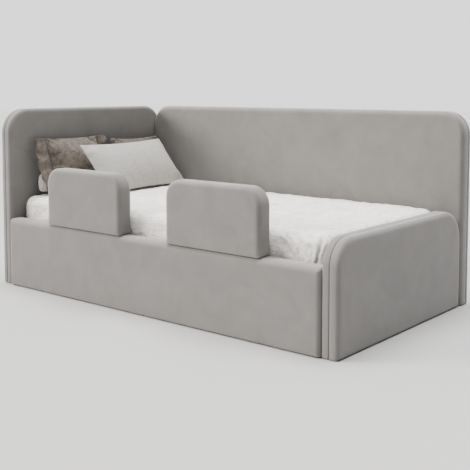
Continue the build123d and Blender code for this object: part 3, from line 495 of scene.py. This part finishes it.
class Outline:
    """A rectangle with its own radius at each corner: low left, low right, top right, top left."""

    def __init__(self, width, height, radii):
        self.width, self.height = width, height
        self.radii = radii

    def corner(self, u, v):
        """The corner cell that a point is in: its radius, centre and signs."""
        low_left, low_right, top_right, top_left = self.radii
        cells = (
            (low_left, low_left, low_left, -1, -1),
            (low_right, self.width - low_right, low_right, 1, -1),
            (top_right, self.width - top_right, self.height - top_right, 1, 1),
            (top_left, top_left, self.height - top_left, -1, 1),
        )
        for radius, cu, cv, su, sv in cells:
            if radius > 0 and (u - cu) * su > 0 and (v - cv) * sv > 0:
                return radius, cu, cv, su, sv
        return None

    def place(self, u, v):
        """A point of the square grid, moved so that the grid's border follows the outline."""
        cell = self.corner(u, v)
        if cell is None:
            return u, v
        radius, cu, cv, su, sv = cell
        a = (u - cu) * su / radius
        b = (v - cv) * sv / radius
        return (
            cu + su * radius * a * math.sqrt(1 - b * b / 2),
            cv + sv * radius * b * math.sqrt(1 - a * a / 2),
        )

    def depth(self, u, v):
        """How far inside the outline a point is."""
        cell = self.corner(u, v)
        if cell is not None:
            radius, cu, cv, _, _ = cell
            return radius - math.hypot(u - cu, v - cv)
        return min(u, self.width - u, v, self.height - v)

    def drop(self, u, v, top, ends, low):
        """How far rounded edges fall below the face: each kind of side has its radius."""
        cell = self.corner(u, v)
        if cell is not None:
            _, cu, cv, _, sv = cell
            upright = ((v - cv) / math.hypot(u - cu, v - cv)) ** 2
            level_side = top if sv > 0 else low
            return rounded(self.depth(u, v), level_side * upright + ends * (1 - upright))
        return max(
            rounded(u, ends), rounded(self.width - u, ends),
            rounded(self.height - v, top), rounded(v, low),
        )


def rounded(depth, radius):
    """How much lower a rounded edge is than the face, at a depth inside the outline."""
    if depth >= radius:
        return 0.0
    gap = radius - max(depth, 0.0)
    return radius - math.sqrt(max(radius * radius - gap * gap, 0.0))


def border_of(columns, rows, start):
    """The border of a grid of vertices, once round."""
    return (
        [start + i for i in range(columns)]
        + [start + j * columns + columns - 1 for j in range(1, rows)]
        + [start + (rows - 1) * columns + i for i in range(columns - 2, -1, -1)]
        + [start + j * columns for j in range(rows - 2, 0, -1)]
    )


def band(first, second):
    """Faces between two rings of vertices."""
    count = len(first)
    return [
        (first[k], first[(k + 1) % count], second[(k + 1) % count], second[k])
        for k in range(count)
    ]


BAND_STEP = 12 * MM             # height of a row of faces between a slab's two faces


def slab(outline, thickness, cell, front, back, swell, hem=None):
    """Vertices (u, v, w) and faces of a padded block: two faces and a band between them.

    front and back are each face's edge roundings: along its top, its ends and its low side.
    swell(u, v, depth, side) adds to the height of a face. With a hem, the back face is
    open further in than that depth.
    """
    us = stations(outline.width, cell)
    vs = stations(outline.height, cell)
    columns, rows = len(us), len(vs)
    vertices, faces, borders = [], [], []
    for side, radii in ((1, front), (-1, back)):
        start = len(vertices)
        depths = []
        for v in vs:
            for u in us:
                pu, pv = outline.place(u, v)
                depth = outline.depth(pu, pv)
                drop = outline.drop(pu, pv, *radii) - swell(pu, pv, depth, side)
                depths.append(depth)
                vertices.append((pu, pv, thickness - drop if side > 0 else drop))
        for j in range(rows - 1):
            for i in range(columns - 1):
                a = j * columns + i
                corners = (a, a + 1, a + columns + 1, a + columns)
                if side < 0 and hem is not None and min(depths[c] for c in corners) > hem:
                    continue
                faces.append(tuple(start + c for c in corners))
        borders.append(border_of(columns, rows, start))
    ahead, behind = borders
    levels = max(2, round((thickness - front[0] - back[0]) / BAND_STEP))
    previous = behind
    for level in range(1, levels):
        share = level / levels
        ring = []
        for near, far in zip(ahead, behind):
            u, v, high = vertices[near]
            low = vertices[far][2]
            ring.append(len(vertices))
            vertices.append((u, v, low + (high - low) * share))
        faces += band(previous, ring)
        previous = ring
    faces += band(previous, ahead)
    return np.array(vertices), faces


def placed(vertices, origin, across, up, out):
    """Local (u, v, w) points in the row frame."""
    basis = np.array([across, up, out], dtype=float)
    return np.array(origin) + vertices @ basis


def ripple(point, scale, seed):
    """Smooth waves over a face, from about -1 to 1."""
    return noise.noise(Vector((point[0] * scale + seed, point[1] * scale, seed)))


# ---- upholstered panels ----------------------------------------------------------------------
PANEL_CELL = 15 * MM            # width of a face in the middle of a panel
FACE_RIPPLE = 0.6 * MM          # slack in the cloth over the foam
SHOULDER = 1.4 * MM             # the foam gives a little towards a panel's edge
SHOULDER_REACH = 45 * MM
SEAM_ROUND = 5.0 * MM           # two layers meet in a groove
FLOOR_ROUND = 6.0 * MM
PANEL_PAINTED_SHADE_GAIN = 1.6           # how strongly painted highlight on its edges and painted shade in its hollows show
PANEL_PROUD, GUARD_PROUD = 2.0 * MM, 8.0 * MM   # the padding's bulge past the CAD covers
UP = (0, 0, 1)
TO_FOOT, TO_HEAD = (1, 0, 0), (-1, 0, 0)
TO_REAR, TO_FRONT = (0, 1, 0), (0, -1, 0)
HEAD_CORNERS = (105 * MM, 105 * MM)
BACK_CORNERS = (92 * MM, 92 * MM)
FOOT_CORNERS = (92 * MM, 120 * MM)              # front, rear

# each layer's node, the ways its width runs and its face looks, its top corners, its edge rounding
LAYERS = (
    ("headboard_inner_cover", TO_REAR, TO_FOOT, HEAD_CORNERS, 15 * MM),
    ("headboard_outer_cover", TO_FRONT, TO_HEAD, HEAD_CORNERS, 9 * MM),
    ("footboard_inner_cover", TO_FRONT, TO_HEAD, FOOT_CORNERS[::-1], 7 * MM),
    ("footboard_outer_cover", TO_REAR, TO_FOOT, FOOT_CORNERS, 16 * MM),
    ("backrest_front_cover", TO_FOOT, TO_FRONT, BACK_CORNERS, 19 * MM),
    ("backrest_rear_cover", TO_HEAD, TO_REAR, BACK_CORNERS, 11 * MM),
)


def slack_cloth(seed):
    """Small hollows and swells of cloth over foam, and a softer border."""
    def swell(u, v, depth, side):
        if side < 0:
            return 0.0
        wave = ripple((u, v), 7.0, seed) + 0.4 * ripple((u, v), 19.0, seed + 3.0)
        return FACE_RIPPLE * wave - SHOULDER * math.exp(-max(depth, 0.0) / SHOULDER_REACH)
    return swell


def node_frame(node, across, out):
    """A node's box seen from outside: its low corner and its width, height and thickness."""
    low, high = (np.array(corner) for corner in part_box(node))
    across, out = np.array(across, float), np.array(out, float)
    heading = across + out + np.array(UP)
    origin = np.where(heading > 0, low, high)
    size = high - low
    return origin, abs(size @ across), size[2], abs(size @ out)


def upholster(node, across, out, corners, front, back, swell, cell=PANEL_CELL, body="box",
              proud=0.0):
    """A padded velvet piece that fills the box of its CAD cover, and stands proud at its ends."""
    origin, width, height, thickness = node_frame(node, across, out)
    origin = origin - np.array(across) * proud
    outline = Outline(width + 2 * proud, height, corners)
    vertices, faces = slab(outline, thickness, cell, front, back, swell)
    piece = new_object(
        node.replace("_cover", "_upholstery"), placed(vertices, origin, across, UP, out),
        faces, LOOKS["velvet"], body, "velvet", node,
    )
    mark_painted_shade(piece, PANEL_PAINTED_SHADE_GAIN)
    return piece


def padded_layer(node, across, out, corners, edge_round):
    """One layer of a two-layer panel: square at the floor, a groove at its seam."""
    left, right = corners
    upholster(
        node, across, out, (0, 0, right, left), (edge_round, edge_round, FLOOR_ROUND),
        (SEAM_ROUND,) * 3, slack_cloth(len(node) * 0.37), proud=PANEL_PROUD,
    )


def make_panels():
    """The headboard, the footboard and the backrest."""
    for layer in LAYERS:
        padded_layer(*layer)


RAIL_TOP_ROUND, RAIL_END_ROUND = 20 * MM, 15 * MM
RAIL_REAR_ROUND = 8 * MM
RAIL_CORNER = 12 * MM
RAIL_RIPPLE_SEED = 4.1
SOCKET_RADIUS = 8.1 * MM
SOCKET_REACH = 40 * MM          # a bore runs this far above and below the rail's top
LEG_FROM_PLATE_END = 32 * MM    # a guard's leg stands this far inside its plate's edges
LEG_FROM_PLATE_FRONT = 15 * MM


def bore(obj, places, radius, low, high):
    """Drills upright round holes into an object, and keeps the result."""
    shape = bmesh.new()
    for x, y in places:
        made = bmesh.ops.create_cone(
            shape, cap_ends=True, segments=28, radius1=radius, radius2=radius, depth=high - low
        )
        bmesh.ops.translate(shape, verts=made["verts"], vec=(x, y, (low + high) / 2))
    mesh = bpy.data.meshes.new("bores")
    shape.to_mesh(mesh)
    shape.free()
    drill = bpy.data.objects.new("bores", mesh)
    bpy.context.collection.objects.link(drill)
    cut = obj.modifiers.new("bores", "BOOLEAN")
    cut.operation = "DIFFERENCE"
    cut.object = drill
    keep_result(obj)
    bpy.data.objects.remove(drill)
    bpy.data.meshes.remove(mesh)


def keep_result(obj):
    """Replaces an object's mesh with what its modifiers make of it."""
    depsgraph = bpy.context.evaluated_depsgraph_get()
    made = bpy.data.meshes.new_from_object(obj.evaluated_get(depsgraph))
    obj.modifiers.clear()
    old = obj.data
    obj.data = made
    bpy.data.meshes.remove(old)


def make_rail():
    """The front rail, with a hole over each socket that a guard's leg goes into."""
    rail = upholster(
        "rail_cover", TO_FOOT, TO_FRONT, (0, 0, RAIL_CORNER, RAIL_CORNER),
        (RAIL_TOP_ROUND, RAIL_END_ROUND, FLOOR_ROUND),
        (RAIL_REAR_ROUND, SEAM_ROUND, SEAM_ROUND), slack_cloth(RAIL_RIPPLE_SEED),
    )
    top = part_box("rail_cover")[1][2]
    sockets = []
    for number in (1, 2):
        low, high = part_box(f"guard_{number}_legs")
        reach = (high[0] - low[0]) / 2 - LEG_FROM_PLATE_END
        middle = (low[0] + high[0]) / 2
        leg_y = low[1] + LEG_FROM_PLATE_FRONT
        sockets += [(middle - reach, leg_y), (middle + reach, leg_y)]
    bore(rail, sockets, SOCKET_RADIUS, top - SOCKET_REACH, top + SOCKET_REACH)


GUARD_CELL = 9 * MM
GUARD_CORNER = 65 * MM
GUARD_LOW_CORNER = 9 * MM
# a face's edge roundings: along its top, its ends and its foot
GUARD_FRONT_ROUNDS = (15 * MM, 18 * MM, 6 * MM)
GUARD_BACK_ROUNDS = (14 * MM, 12 * MM, 6 * MM)
GUARD_CROWN = 2.0 * MM          # how far the middle of a face rises over its edges
GUARD_CROWN_SHARE = 0.6         # this share of it stands proud of the CAD cover
GUARD_CROWN_REACH = 40 * MM


def make_guard(number):
    """A padded guard block, a little fuller in the middle of both faces."""
    def swell(u, v, depth, side):
        edge = math.exp(-max(depth, 0.0) / GUARD_CROWN_REACH)
        wave = FACE_RIPPLE * ripple((u, v), 11.0, 3.0 * number + side)
        return GUARD_CROWN * (GUARD_CROWN_SHARE - edge) + wave

    corners = (GUARD_LOW_CORNER, GUARD_LOW_CORNER, GUARD_CORNER, GUARD_CORNER)
    upholster(
        f"guard_{number}_cover", TO_FOOT, TO_FRONT, corners, GUARD_FRONT_ROUNDS,
        GUARD_BACK_ROUNDS, swell, GUARD_CELL, f"guard_{number}", GUARD_PROUD,
    )


# ---- mattress and its fitted cover -----------------------------------------------------------
COVER_CELL = 7 * MM
COVER_CORNERS = (42 * MM, 58 * MM, 88 * MM, 42 * MM)   # head front, then round from there
COVER_EDGE = 36 * MM            # rounding of the mattress's top edge
COVER_LOW_EDGE = 9 * MM
COVER_HEM = 75 * MM             # the elastic hem, turned in under the mattress
COVER_PAINTED_SHADE_GAIN = 3.0           # how strongly painted shade shows in its folds
COVER_CROWN = 9 * MM            # the top's middle stands this far over its edges
COVER_CROWN_REACH = 90 * MM
LONG_CREASE, SLANTED_CREASE, SMALL_CREASE = 4.6 * MM, 4.2 * MM, 1.6 * MM
LOOSE_START, LOOSE_REACH = 0.45, 1.1            # metres from the head, where the top gets looser
LOOSE_WIDTH = 0.6
CRINKLE_HEIGHT, CRINKLE_REACH = 2.1 * MM, 55 * MM
PLEAT_HEIGHT = 0.9 * MM
EDGE_SINK = 1.0 * MM
PILLOW_END = 420 * MM           # pillows lie flat on this much of the mattress
CREST_UNDER_PILLOWS, CREST_ELSEWHERE = 0.4 * MM, 4.0 * MM
SIDE_CREST = 1.5 * MM           # the cover stays clear of the guards and panels beside it
GATHER_START = 58 * MM          # gathers fan out from the hem, this far before a corner
GATHER_NARROW, GATHER_REACH = 35 * MM, 190 * MM   # they rise over the first, then fade
GATHER_HEIGHT = 13 * MM
FOOT_FRONT_GATHER, OTHER_GATHER = 1.0, 0.45     # shares of that height


# Noise is scaled by roughly how many folds there are in a metre.
def ridge(value, sharpness=2.6):
    """Turns smooth noise into narrow folds with soft valleys."""
    return max(0.0, 1.0 - abs(value) * sharpness)


def top_creases(x, y):
    """Height of the loose creases in the cover's top, in metres. x runs from the head."""
    towards_foot = min(max((x - LOOSE_START) / LOOSE_REACH, 0.0), 1.0)
    towards_front = 1.0 - min(max(y / LOOSE_WIDTH, 0.0), 1.0)
    loose = 0.80 + 0.35 * towards_foot * (0.4 + 0.6 * towards_front)
    bend = 0.05 * noise.noise(Vector((x * 3.0, y * 3.0, 9.0)))
    across = ridge(noise.noise(Vector(((x + bend) * 15.0, (y + bend) * 3.2, 0.4))))
    slanted = ridge(noise.noise(Vector((x * 6.0 + y * 9.0, y * 8.0 - x * 13.0, 2.7))), 3.4)
    small = noise.fractal(Vector((x * 34.0, y * 44.0, 1.7)), 0.8, 2.0, 3)
    folds = LONG_CREASE * (across - 0.3) + SLANTED_CREASE * (slanted - 0.3)
    return loose * folds + SMALL_CREASE * small


def edge_crinkle(x, y, z, depth):
    """The cloth puckers in small wrinkles along the mattress's edge, in metres."""
    wrinkle = noise.noise(Vector((x * 26.0 + z * 9.0, y * 26.0 - z * 9.0, z * 22.0)))
    fine = noise.noise(Vector((x * 61.0, y * 61.0, z * 40.0)))
    height = CRINKLE_HEIGHT * (ridge(wrinkle, 2.4) - 1.0 + 0.35 * fine)
    return height * math.exp(-depth / CRINKLE_REACH)


def gather(x, y, z, length, width):
    """Height of the folds that fan out from the hem round each corner, in metres."""
    from_end = x if x < length / 2 else length - x
    from_side = y if y < width / 2 else width - y
    along = from_side - from_end + GATHER_START
    up = z + min(from_end, from_side)
    reach = math.hypot(along, up)
    if reach > 2 * GATHER_REACH:
        return 0.0
    at_foot_front = x > length / 2 and y < width / 2
    amount = FOOT_FRONT_GATHER if at_foot_front else OTHER_GATHER
    turn = math.atan2(up, along)
    folds = noise.noise(Vector((turn * 4.4, reach * 3.0, 3.0 if at_foot_front else 7.0)))
    fine = noise.noise(Vector((turn * 13.0, reach * 8.0, 5.0)))
    height = 0.8 * ridge(folds, 2.6) + 0.2 * ridge(fine, 3.0) - 0.95
    near = min(reach / GATHER_NARROW, 1.0)
    return amount * GATHER_HEIGHT * height * near * math.exp(-(reach / GATHER_REACH) ** 2)


def crumple(vertices, outline, height):
    """Lifts a cover's top and pushes out its sides by its creases and gathers."""
    length, width = outline.width, outline.height
    for index, (x, y, z) in enumerate(vertices):
        depth = max(outline.depth(x, y), 0.0)
        level = min(max(z / height, 0.0), 1.0)
        out = Vector((((x - length / 2) / length) ** 5, ((y - width / 2) / width) ** 5, 0.0))
        out.normalize()
        side = math.exp(-depth / COVER_EDGE)
        fold = gather(x, y, z, length, width) + edge_crinkle(x, y, z, depth)
        pleat = PLEAT_HEIGHT * (noise.noise(Vector((x * 70.0, y * 70.0, z * 7.0))) - 0.5)
        bulge = SIDE_CREST * math.sin(math.pi * level)
        push = side * min(fold + bulge + pleat, SIDE_CREST)
        lift = level ** 2 * ((1.0 - 0.5 * side) * fold + (1.0 - side) * top_creases(x, y))
        crest = CREST_UNDER_PILLOWS if x < PILLOW_END else CREST_ELSEWHERE
        top = min(z + lift - side * EDGE_SINK, height + crest)
        vertices[index] = (x + out.x * push, y + out.y * push, top)
    return vertices


def make_cover():
    """A fitted crinkled cotton cover, open under the mattress inside its elastic hem."""
    low, high = (np.array(corner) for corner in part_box("bed_cover"))
    length, width, height = high - low
    outline = Outline(length, width, COVER_CORNERS)

    def swell(u, v, depth, side):
        if side < 0:
            return 0.0
        return -COVER_CROWN * math.exp(-max(depth, 0.0) / COVER_CROWN_REACH)

    vertices, faces = slab(
        outline, height, COVER_CELL, (COVER_EDGE,) * 3, (COVER_LOW_EDGE,) * 3, swell,
        COVER_HEM,
    )
    vertices = crumple(vertices, outline, height)
    cover = new_object(
        "bed_cover_fitted", placed(vertices, low, TO_FOOT, TO_REAR, UP), faces,
        LOOKS["bedding"], "lift_base", "bedding", "bed_cover",
    )
    drop_loose_vertices(cover)
    mark_painted_shade(cover, COVER_PAINTED_SHADE_GAIN)


def drop_loose_vertices(obj):
    """Deletes vertices that no face uses."""
    shape = bmesh.new()
    shape.from_mesh(obj.data)
    loose = [v for v in shape.verts if not v.link_faces]
    bmesh.ops.delete(shape, geom=loose, context="VERTS")
    shape.to_mesh(obj.data)
    shape.free()


MATTRESS_INSET, MATTRESS_DROP = 12 * MM, 22 * MM   # inside the cover's sides and top
MATTRESS_LIFT = 0.5 * MM
QUILT_DEPTH, QUILT_SCALE = 1.0 * MM, 42.0


def make_mattress():
    """The foam mattress in its striped ticking. It shows inside the cover's hem, from below."""
    low, high = (np.array(corner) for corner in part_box("bed_cover"))
    low[:2] += MATTRESS_INSET
    high[:2] -= MATTRESS_INSET
    low[2] += MATTRESS_LIFT
    high[2] -= MATTRESS_DROP
    length, width, height = high - low
    outline = Outline(length, width, COVER_CORNERS)

    def quilted(u, v, depth, side):
        return QUILT_DEPTH * (math.cos(u * QUILT_SCALE) * math.cos(v * QUILT_SCALE) - 1.0)

    vertices, faces = slab(
        outline, height, 2 * PANEL_CELL, (COVER_EDGE,) * 3, (COVER_LOW_EDGE,) * 3, quilted
    )
    core = new_object(
        "mattress_core", placed(vertices, low, TO_FOOT, TO_REAR, UP), faces,
        LOOKS["foam"], "lift_base", "foam", "mattress",
    )


# ---- pull strap ------------------------------------------------------------------------------
STRAP_THICKNESS = 2.0 * MM
STRAP_STEPS = 9                 # in each straight run
STRAP_BEND_OUT, STRAP_BEND_UP = 18 * MM, 4 * MM    # below the mattress's underside


def make_strap():
    """A strip of webbing from the base frame up past the mattress at its foot."""
    low, high = (np.array(corner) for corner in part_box("pull_strap"))
    half = STRAP_THICKNESS / 2
    mattress_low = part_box("bed_cover")[0][2]
    corners = [
        (low[0] + half, low[2]),
        (low[0] + half, mattress_low - STRAP_BEND_OUT),
        (high[0] - half, mattress_low - STRAP_BEND_UP),
        (high[0] - half, high[2] - half),
    ]
    path = []
    for (x0, z0), (x1, z1) in zip(corners, corners[1:]):
        for step in range(STRAP_STEPS):
            share = step / STRAP_STEPS
            path.append((x0 + (x1 - x0) * share, z0 + (z1 - z0) * share))
    path.append(corners[-1])
    rounds = ((low[1], 0.0), (low[1] + half, half), (high[1] - half, half), (high[1], 0.0),
              (high[1] - half, -half), (low[1] + half, -half))
    vertices, faces = [], []
    for index, (x, z) in enumerate(path):
        before, after = path[max(index - 1, 0)], path[min(index + 1, len(path) - 1)]
        way = Vector((after[0] - before[0], after[1] - before[1])).normalized()
        for y, off in rounds:
            vertices.append((x + way.y * off, y, z - way.x * off))
    sides = len(rounds)
    for index in range(len(path) - 1):
        a, b = index * sides, (index + 1) * sides
        faces += band(range(a, a + sides), range(b, b + sides))
    faces.append(tuple(range(sides)))
    faces.append(tuple(range(len(vertices) - sides, len(vertices)))[::-1])
    strap = new_object(
        "pull_strap_webbing", vertices, faces, LOOKS["webbing"], "lift_base", "webbing",
        "pull_strap",
    )


# ---- pillows ---------------------------------------------------------------------------------
PILLOW_CELL = 7 * MM
PILLOW_PAINTED_SHADE_GAIN = 2.2          # how strongly painted shade and painted highlight show in its folds
PILLOW_PRESSURE = 6.0
PILLOW_FRAMES = 24              # of Blender's Cloth, to fill one case
WAIST = 9 * MM                  # a case's sides draw in a little between its corners
HEM_GAP = 2.0 * MM
STITCH_PAINTED_SHADE = 0.85              # how dark the painted shade along a hem's seam is
HEM_WAVE, HEM_BULGE = 18.0 * MM, 15.0 * MM      # a loose hem's ruffle
HEADBOARD_CLEARANCE, MATTRESS_CLEARANCE = 2.5 * MM, 0.8 * MM


class Pillow:
    """A pillow's case, and its place on the mattress.

    size is the case laid flat, round its corners' radius, thick its depth before it is
    filled, slack how much larger the cloth is cut than its seams (None: it isn't filled),
    hem a flat flange at both ends. It stands on foot, and leans back by lean and turns by
    turn, in degrees. slot is its material.
    """

    def __init__(self, slot, size, round_, thick, slack, foot, lean=0.0, turn=0.0, hem=0.0):
        self.width, self.height = size
        self.round, self.thick, self.slack = round_, thick, slack
        self.foot, self.lean, self.turn = foot, math.radians(lean), math.radians(turn)
        self.slot, self.hem = slot, hem


PILLOWS = {
    "brown_pillow_1": Pillow(
        "brown_plush", size=(0.428, 0.254), round_=0.034, thick=0.066, slack=0.080,
        foot=(-0.703, -0.152, 0.394), lean=17.5, hem=0.063,
    ),
    "brown_pillow_2": Pillow(
        "brown_plush", size=(0.318, 0.230), round_=0.016, thick=0.045, slack=0.070,
        foot=(-0.712, 0.238, 0.394), lean=15.5,
    ),
    "white_pillow": Pillow(
        "bedding", size=(0.410, 0.094), round_=0.046, thick=0.060, slack=None,
        foot=(-0.771, -0.148, 0.388),
    ),
    "grey_pillow": Pillow(
        "grey_weave", size=(0.582, 0.268), round_=0.006, thick=0.063, slack=0.020,
        foot=(-0.522, 0.093, 0.392), lean=38.0, turn=7.2,
    ),
}


def pillow_rise(pillow, s, t):
    """Half the start thickness at a place in the case, as a share of the whole."""
    if pillow.slack is None:
        return math.sqrt(max(0.0, (1 - abs(2 * s - 1) ** 4) * (1 - (2 * t - 1) ** 2)))
    return (16 * s * (1 - s) * t * (1 - t)) ** 0.6


def ruffle(s, t, share):
    """How far a hem waves out of its plane and past its end, at a share of the way out."""
    end = -1 if s < 0.5 else 1
    out = share * HEM_WAVE * noise.noise(Vector((t * 5.5, end * 3.0, 0.3)))
    bulge = math.sin(math.pi * t) ** 3 + noise.noise(Vector((t * 9.0, end, 0.8)))
    past = share * HEM_BULGE * bulge
    return out, end * past


def pillow_mesh(pillow):
    """Two sheets sewn together round their border and at their hems.

    Local x is the thickness. Gives the vertices, the faces, the vertices that are sewn,
    and those along the hems' own seams.
    """
    columns = round(pillow.width / PILLOW_CELL)
    rows = round(pillow.height / PILLOW_CELL)
    hem_columns = round(pillow.hem / PILLOW_CELL)
    outline = Outline(pillow.width, pillow.height, (pillow.round,) * 4)
    vertices, faces, sewn, stitched = [], [], [], []
    index = {}
    for side in (1, -1):
        for j in range(rows + 1):
            for i in range(columns + 1):
                border = i in (0, columns) or j in (0, rows)
                if border and side < 0:
                    index[side, i, j] = index[1, i, j]
                    continue
                s, t = i / columns, j / rows
                index[side, i, j] = len(vertices)
                past_hem = min(i, columns - i) - hem_columns
                if border:
                    x = 0.0
                elif past_hem > 0:
                    inner = (i - hem_columns) / (columns - 2 * hem_columns)
                    x = side * pillow.thick / 2 * pillow_rise(pillow, inner, t)
                else:
                    x = side * (HEM_GAP if past_hem else HEM_GAP / 4)
                if border or past_hem <= 0:
                    sewn.append(len(vertices))
                if hem_columns and past_hem == 0:
                    stitched.append(len(vertices))
                y, z = outline.place(s * pillow.width, t * pillow.height)
                y += WAIST * math.sin(math.pi * t) * (1 - 2 * s) - pillow.width / 2
                z += WAIST * math.sin(math.pi * s) * (1 - 2 * t)
                if past_hem < 0:
                    out, past = ruffle(s, t, -past_hem / hem_columns)
                    x, y = x + out, y + past
                vertices.append((x, y, z))
        for j in range(rows):
            for i in range(columns):
                quad = [index[side, i, j], index[side, i + 1, j],
                        index[side, i + 1, j + 1], index[side, i, j + 1]]
                faces.append(quad if side > 0 else quad[::-1])
    return vertices, faces, sewn, stitched


def inflate(obj, sewn, slack):
    """Fills a sewn case: pressed out as cloth that is cut larger than its seams."""
    seam = obj.vertex_groups.new(name="sewn")
    seam.add(sewn, 1.0, "REPLACE")
    cloth = obj.modifiers.new("fill", "CLOTH")
    settings = cloth.settings
    settings.quality = 7
    settings.mass = 0.25
    settings.tension_stiffness = 16.0
    settings.compression_stiffness = 14.0
    settings.shear_stiffness = 5.0
    settings.bending_stiffness = 0.25
    settings.vertex_group_mass = seam.name
    settings.shrink_min = -slack
    settings.use_pressure = True
    settings.uniform_pressure_force = PILLOW_PRESSURE
    settings.effector_weights.gravity = 0.0
    cloth.collision_settings.use_collision = False
    scene = bpy.context.scene
    for step in range(1, PILLOW_FRAMES + 1):
        scene.frame_set(step)
    keep_result(obj)
    obj.vertex_groups.clear()
    scene.frame_set(1)


def stand_pillow(obj, pillow):
    """Stands a pillow on the mattress, leaning back to the headboard."""
    points = np.array([v.co for v in obj.data.vertices])
    x = points[:, 0] * math.cos(pillow.lean) - points[:, 2] * math.sin(pillow.lean)
    z = points[:, 0] * math.sin(pillow.lean) + points[:, 2] * math.cos(pillow.lean)
    y = points[:, 1]
    world = np.stack([
        pillow.foot[0] + x * math.cos(pillow.turn) - y * math.sin(pillow.turn),
        pillow.foot[1] + x * math.sin(pillow.turn) + y * math.cos(pillow.turn),
        pillow.foot[2] + z,
    ], axis=1)
    head_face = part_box("headboard_inner_cover")[1][0]
    world[:, 0] = np.maximum(world[:, 0], head_face + HEADBOARD_CLEARANCE)
    mattress_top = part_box("bed_cover")[1][2]
    world[:, 2] = np.maximum(world[:, 2], mattress_top + MATTRESS_CLEARANCE)
    obj.data.vertices.foreach_set("co", world.ravel())
    obj.data.update()


def make_pillow(name, pillow):
    """Sews, fills and stands a pillow."""
    vertices, faces, sewn, stitched = pillow_mesh(pillow)
    case = new_object(
        f"{name}_case", vertices, faces, LOOKS[pillow.slot], "pillows", pillow.slot, name
    )
    if pillow.slack is not None:
        inflate(case, sewn, pillow.slack)
    case.data.polygons.foreach_set("use_smooth", [True] * len(case.data.polygons))
    stand_pillow(case, pillow)
    mark_painted_shade(case, PILLOW_PAINTED_SHADE_GAIN)
    # the hems' seams get painted shade
    for vertex in stitched:
        case.data.attributes[PAINTED_SHADE_ATTRIBUTE].data[vertex].value = STITCH_PAINTED_SHADE
    smooth = case.modifiers.new("smooth", "SUBSURF")
    smooth.levels = 1
    smooth.render_levels = 1


# ---- frames, boards and metal parts keep their CAD shapes ------------------------------------
def dress_nodes():
    """Gives every CAD node that stays visible its procedural material."""
    slots = {part["node"]: part["material_slot"] for part in frame["record"]["subparts"]}
    for name, obj in NODES.items():
        look = LOOKS.get(slots[name])
        if look is not None:
            obj.data.materials.clear()
            obj.data.materials.append(look)


# ---- build -----------------------------------------------------------------------------------
make_camera()
make_world()
make_lights()
make_floor()
dress_nodes()
make_panels()
make_rail()
make_guard(1)
make_guard(2)
make_mattress()
make_cover()
make_strap()
for pillow_name, pillow in PILLOWS.items():
    make_pillow(pillow_name, pillow)
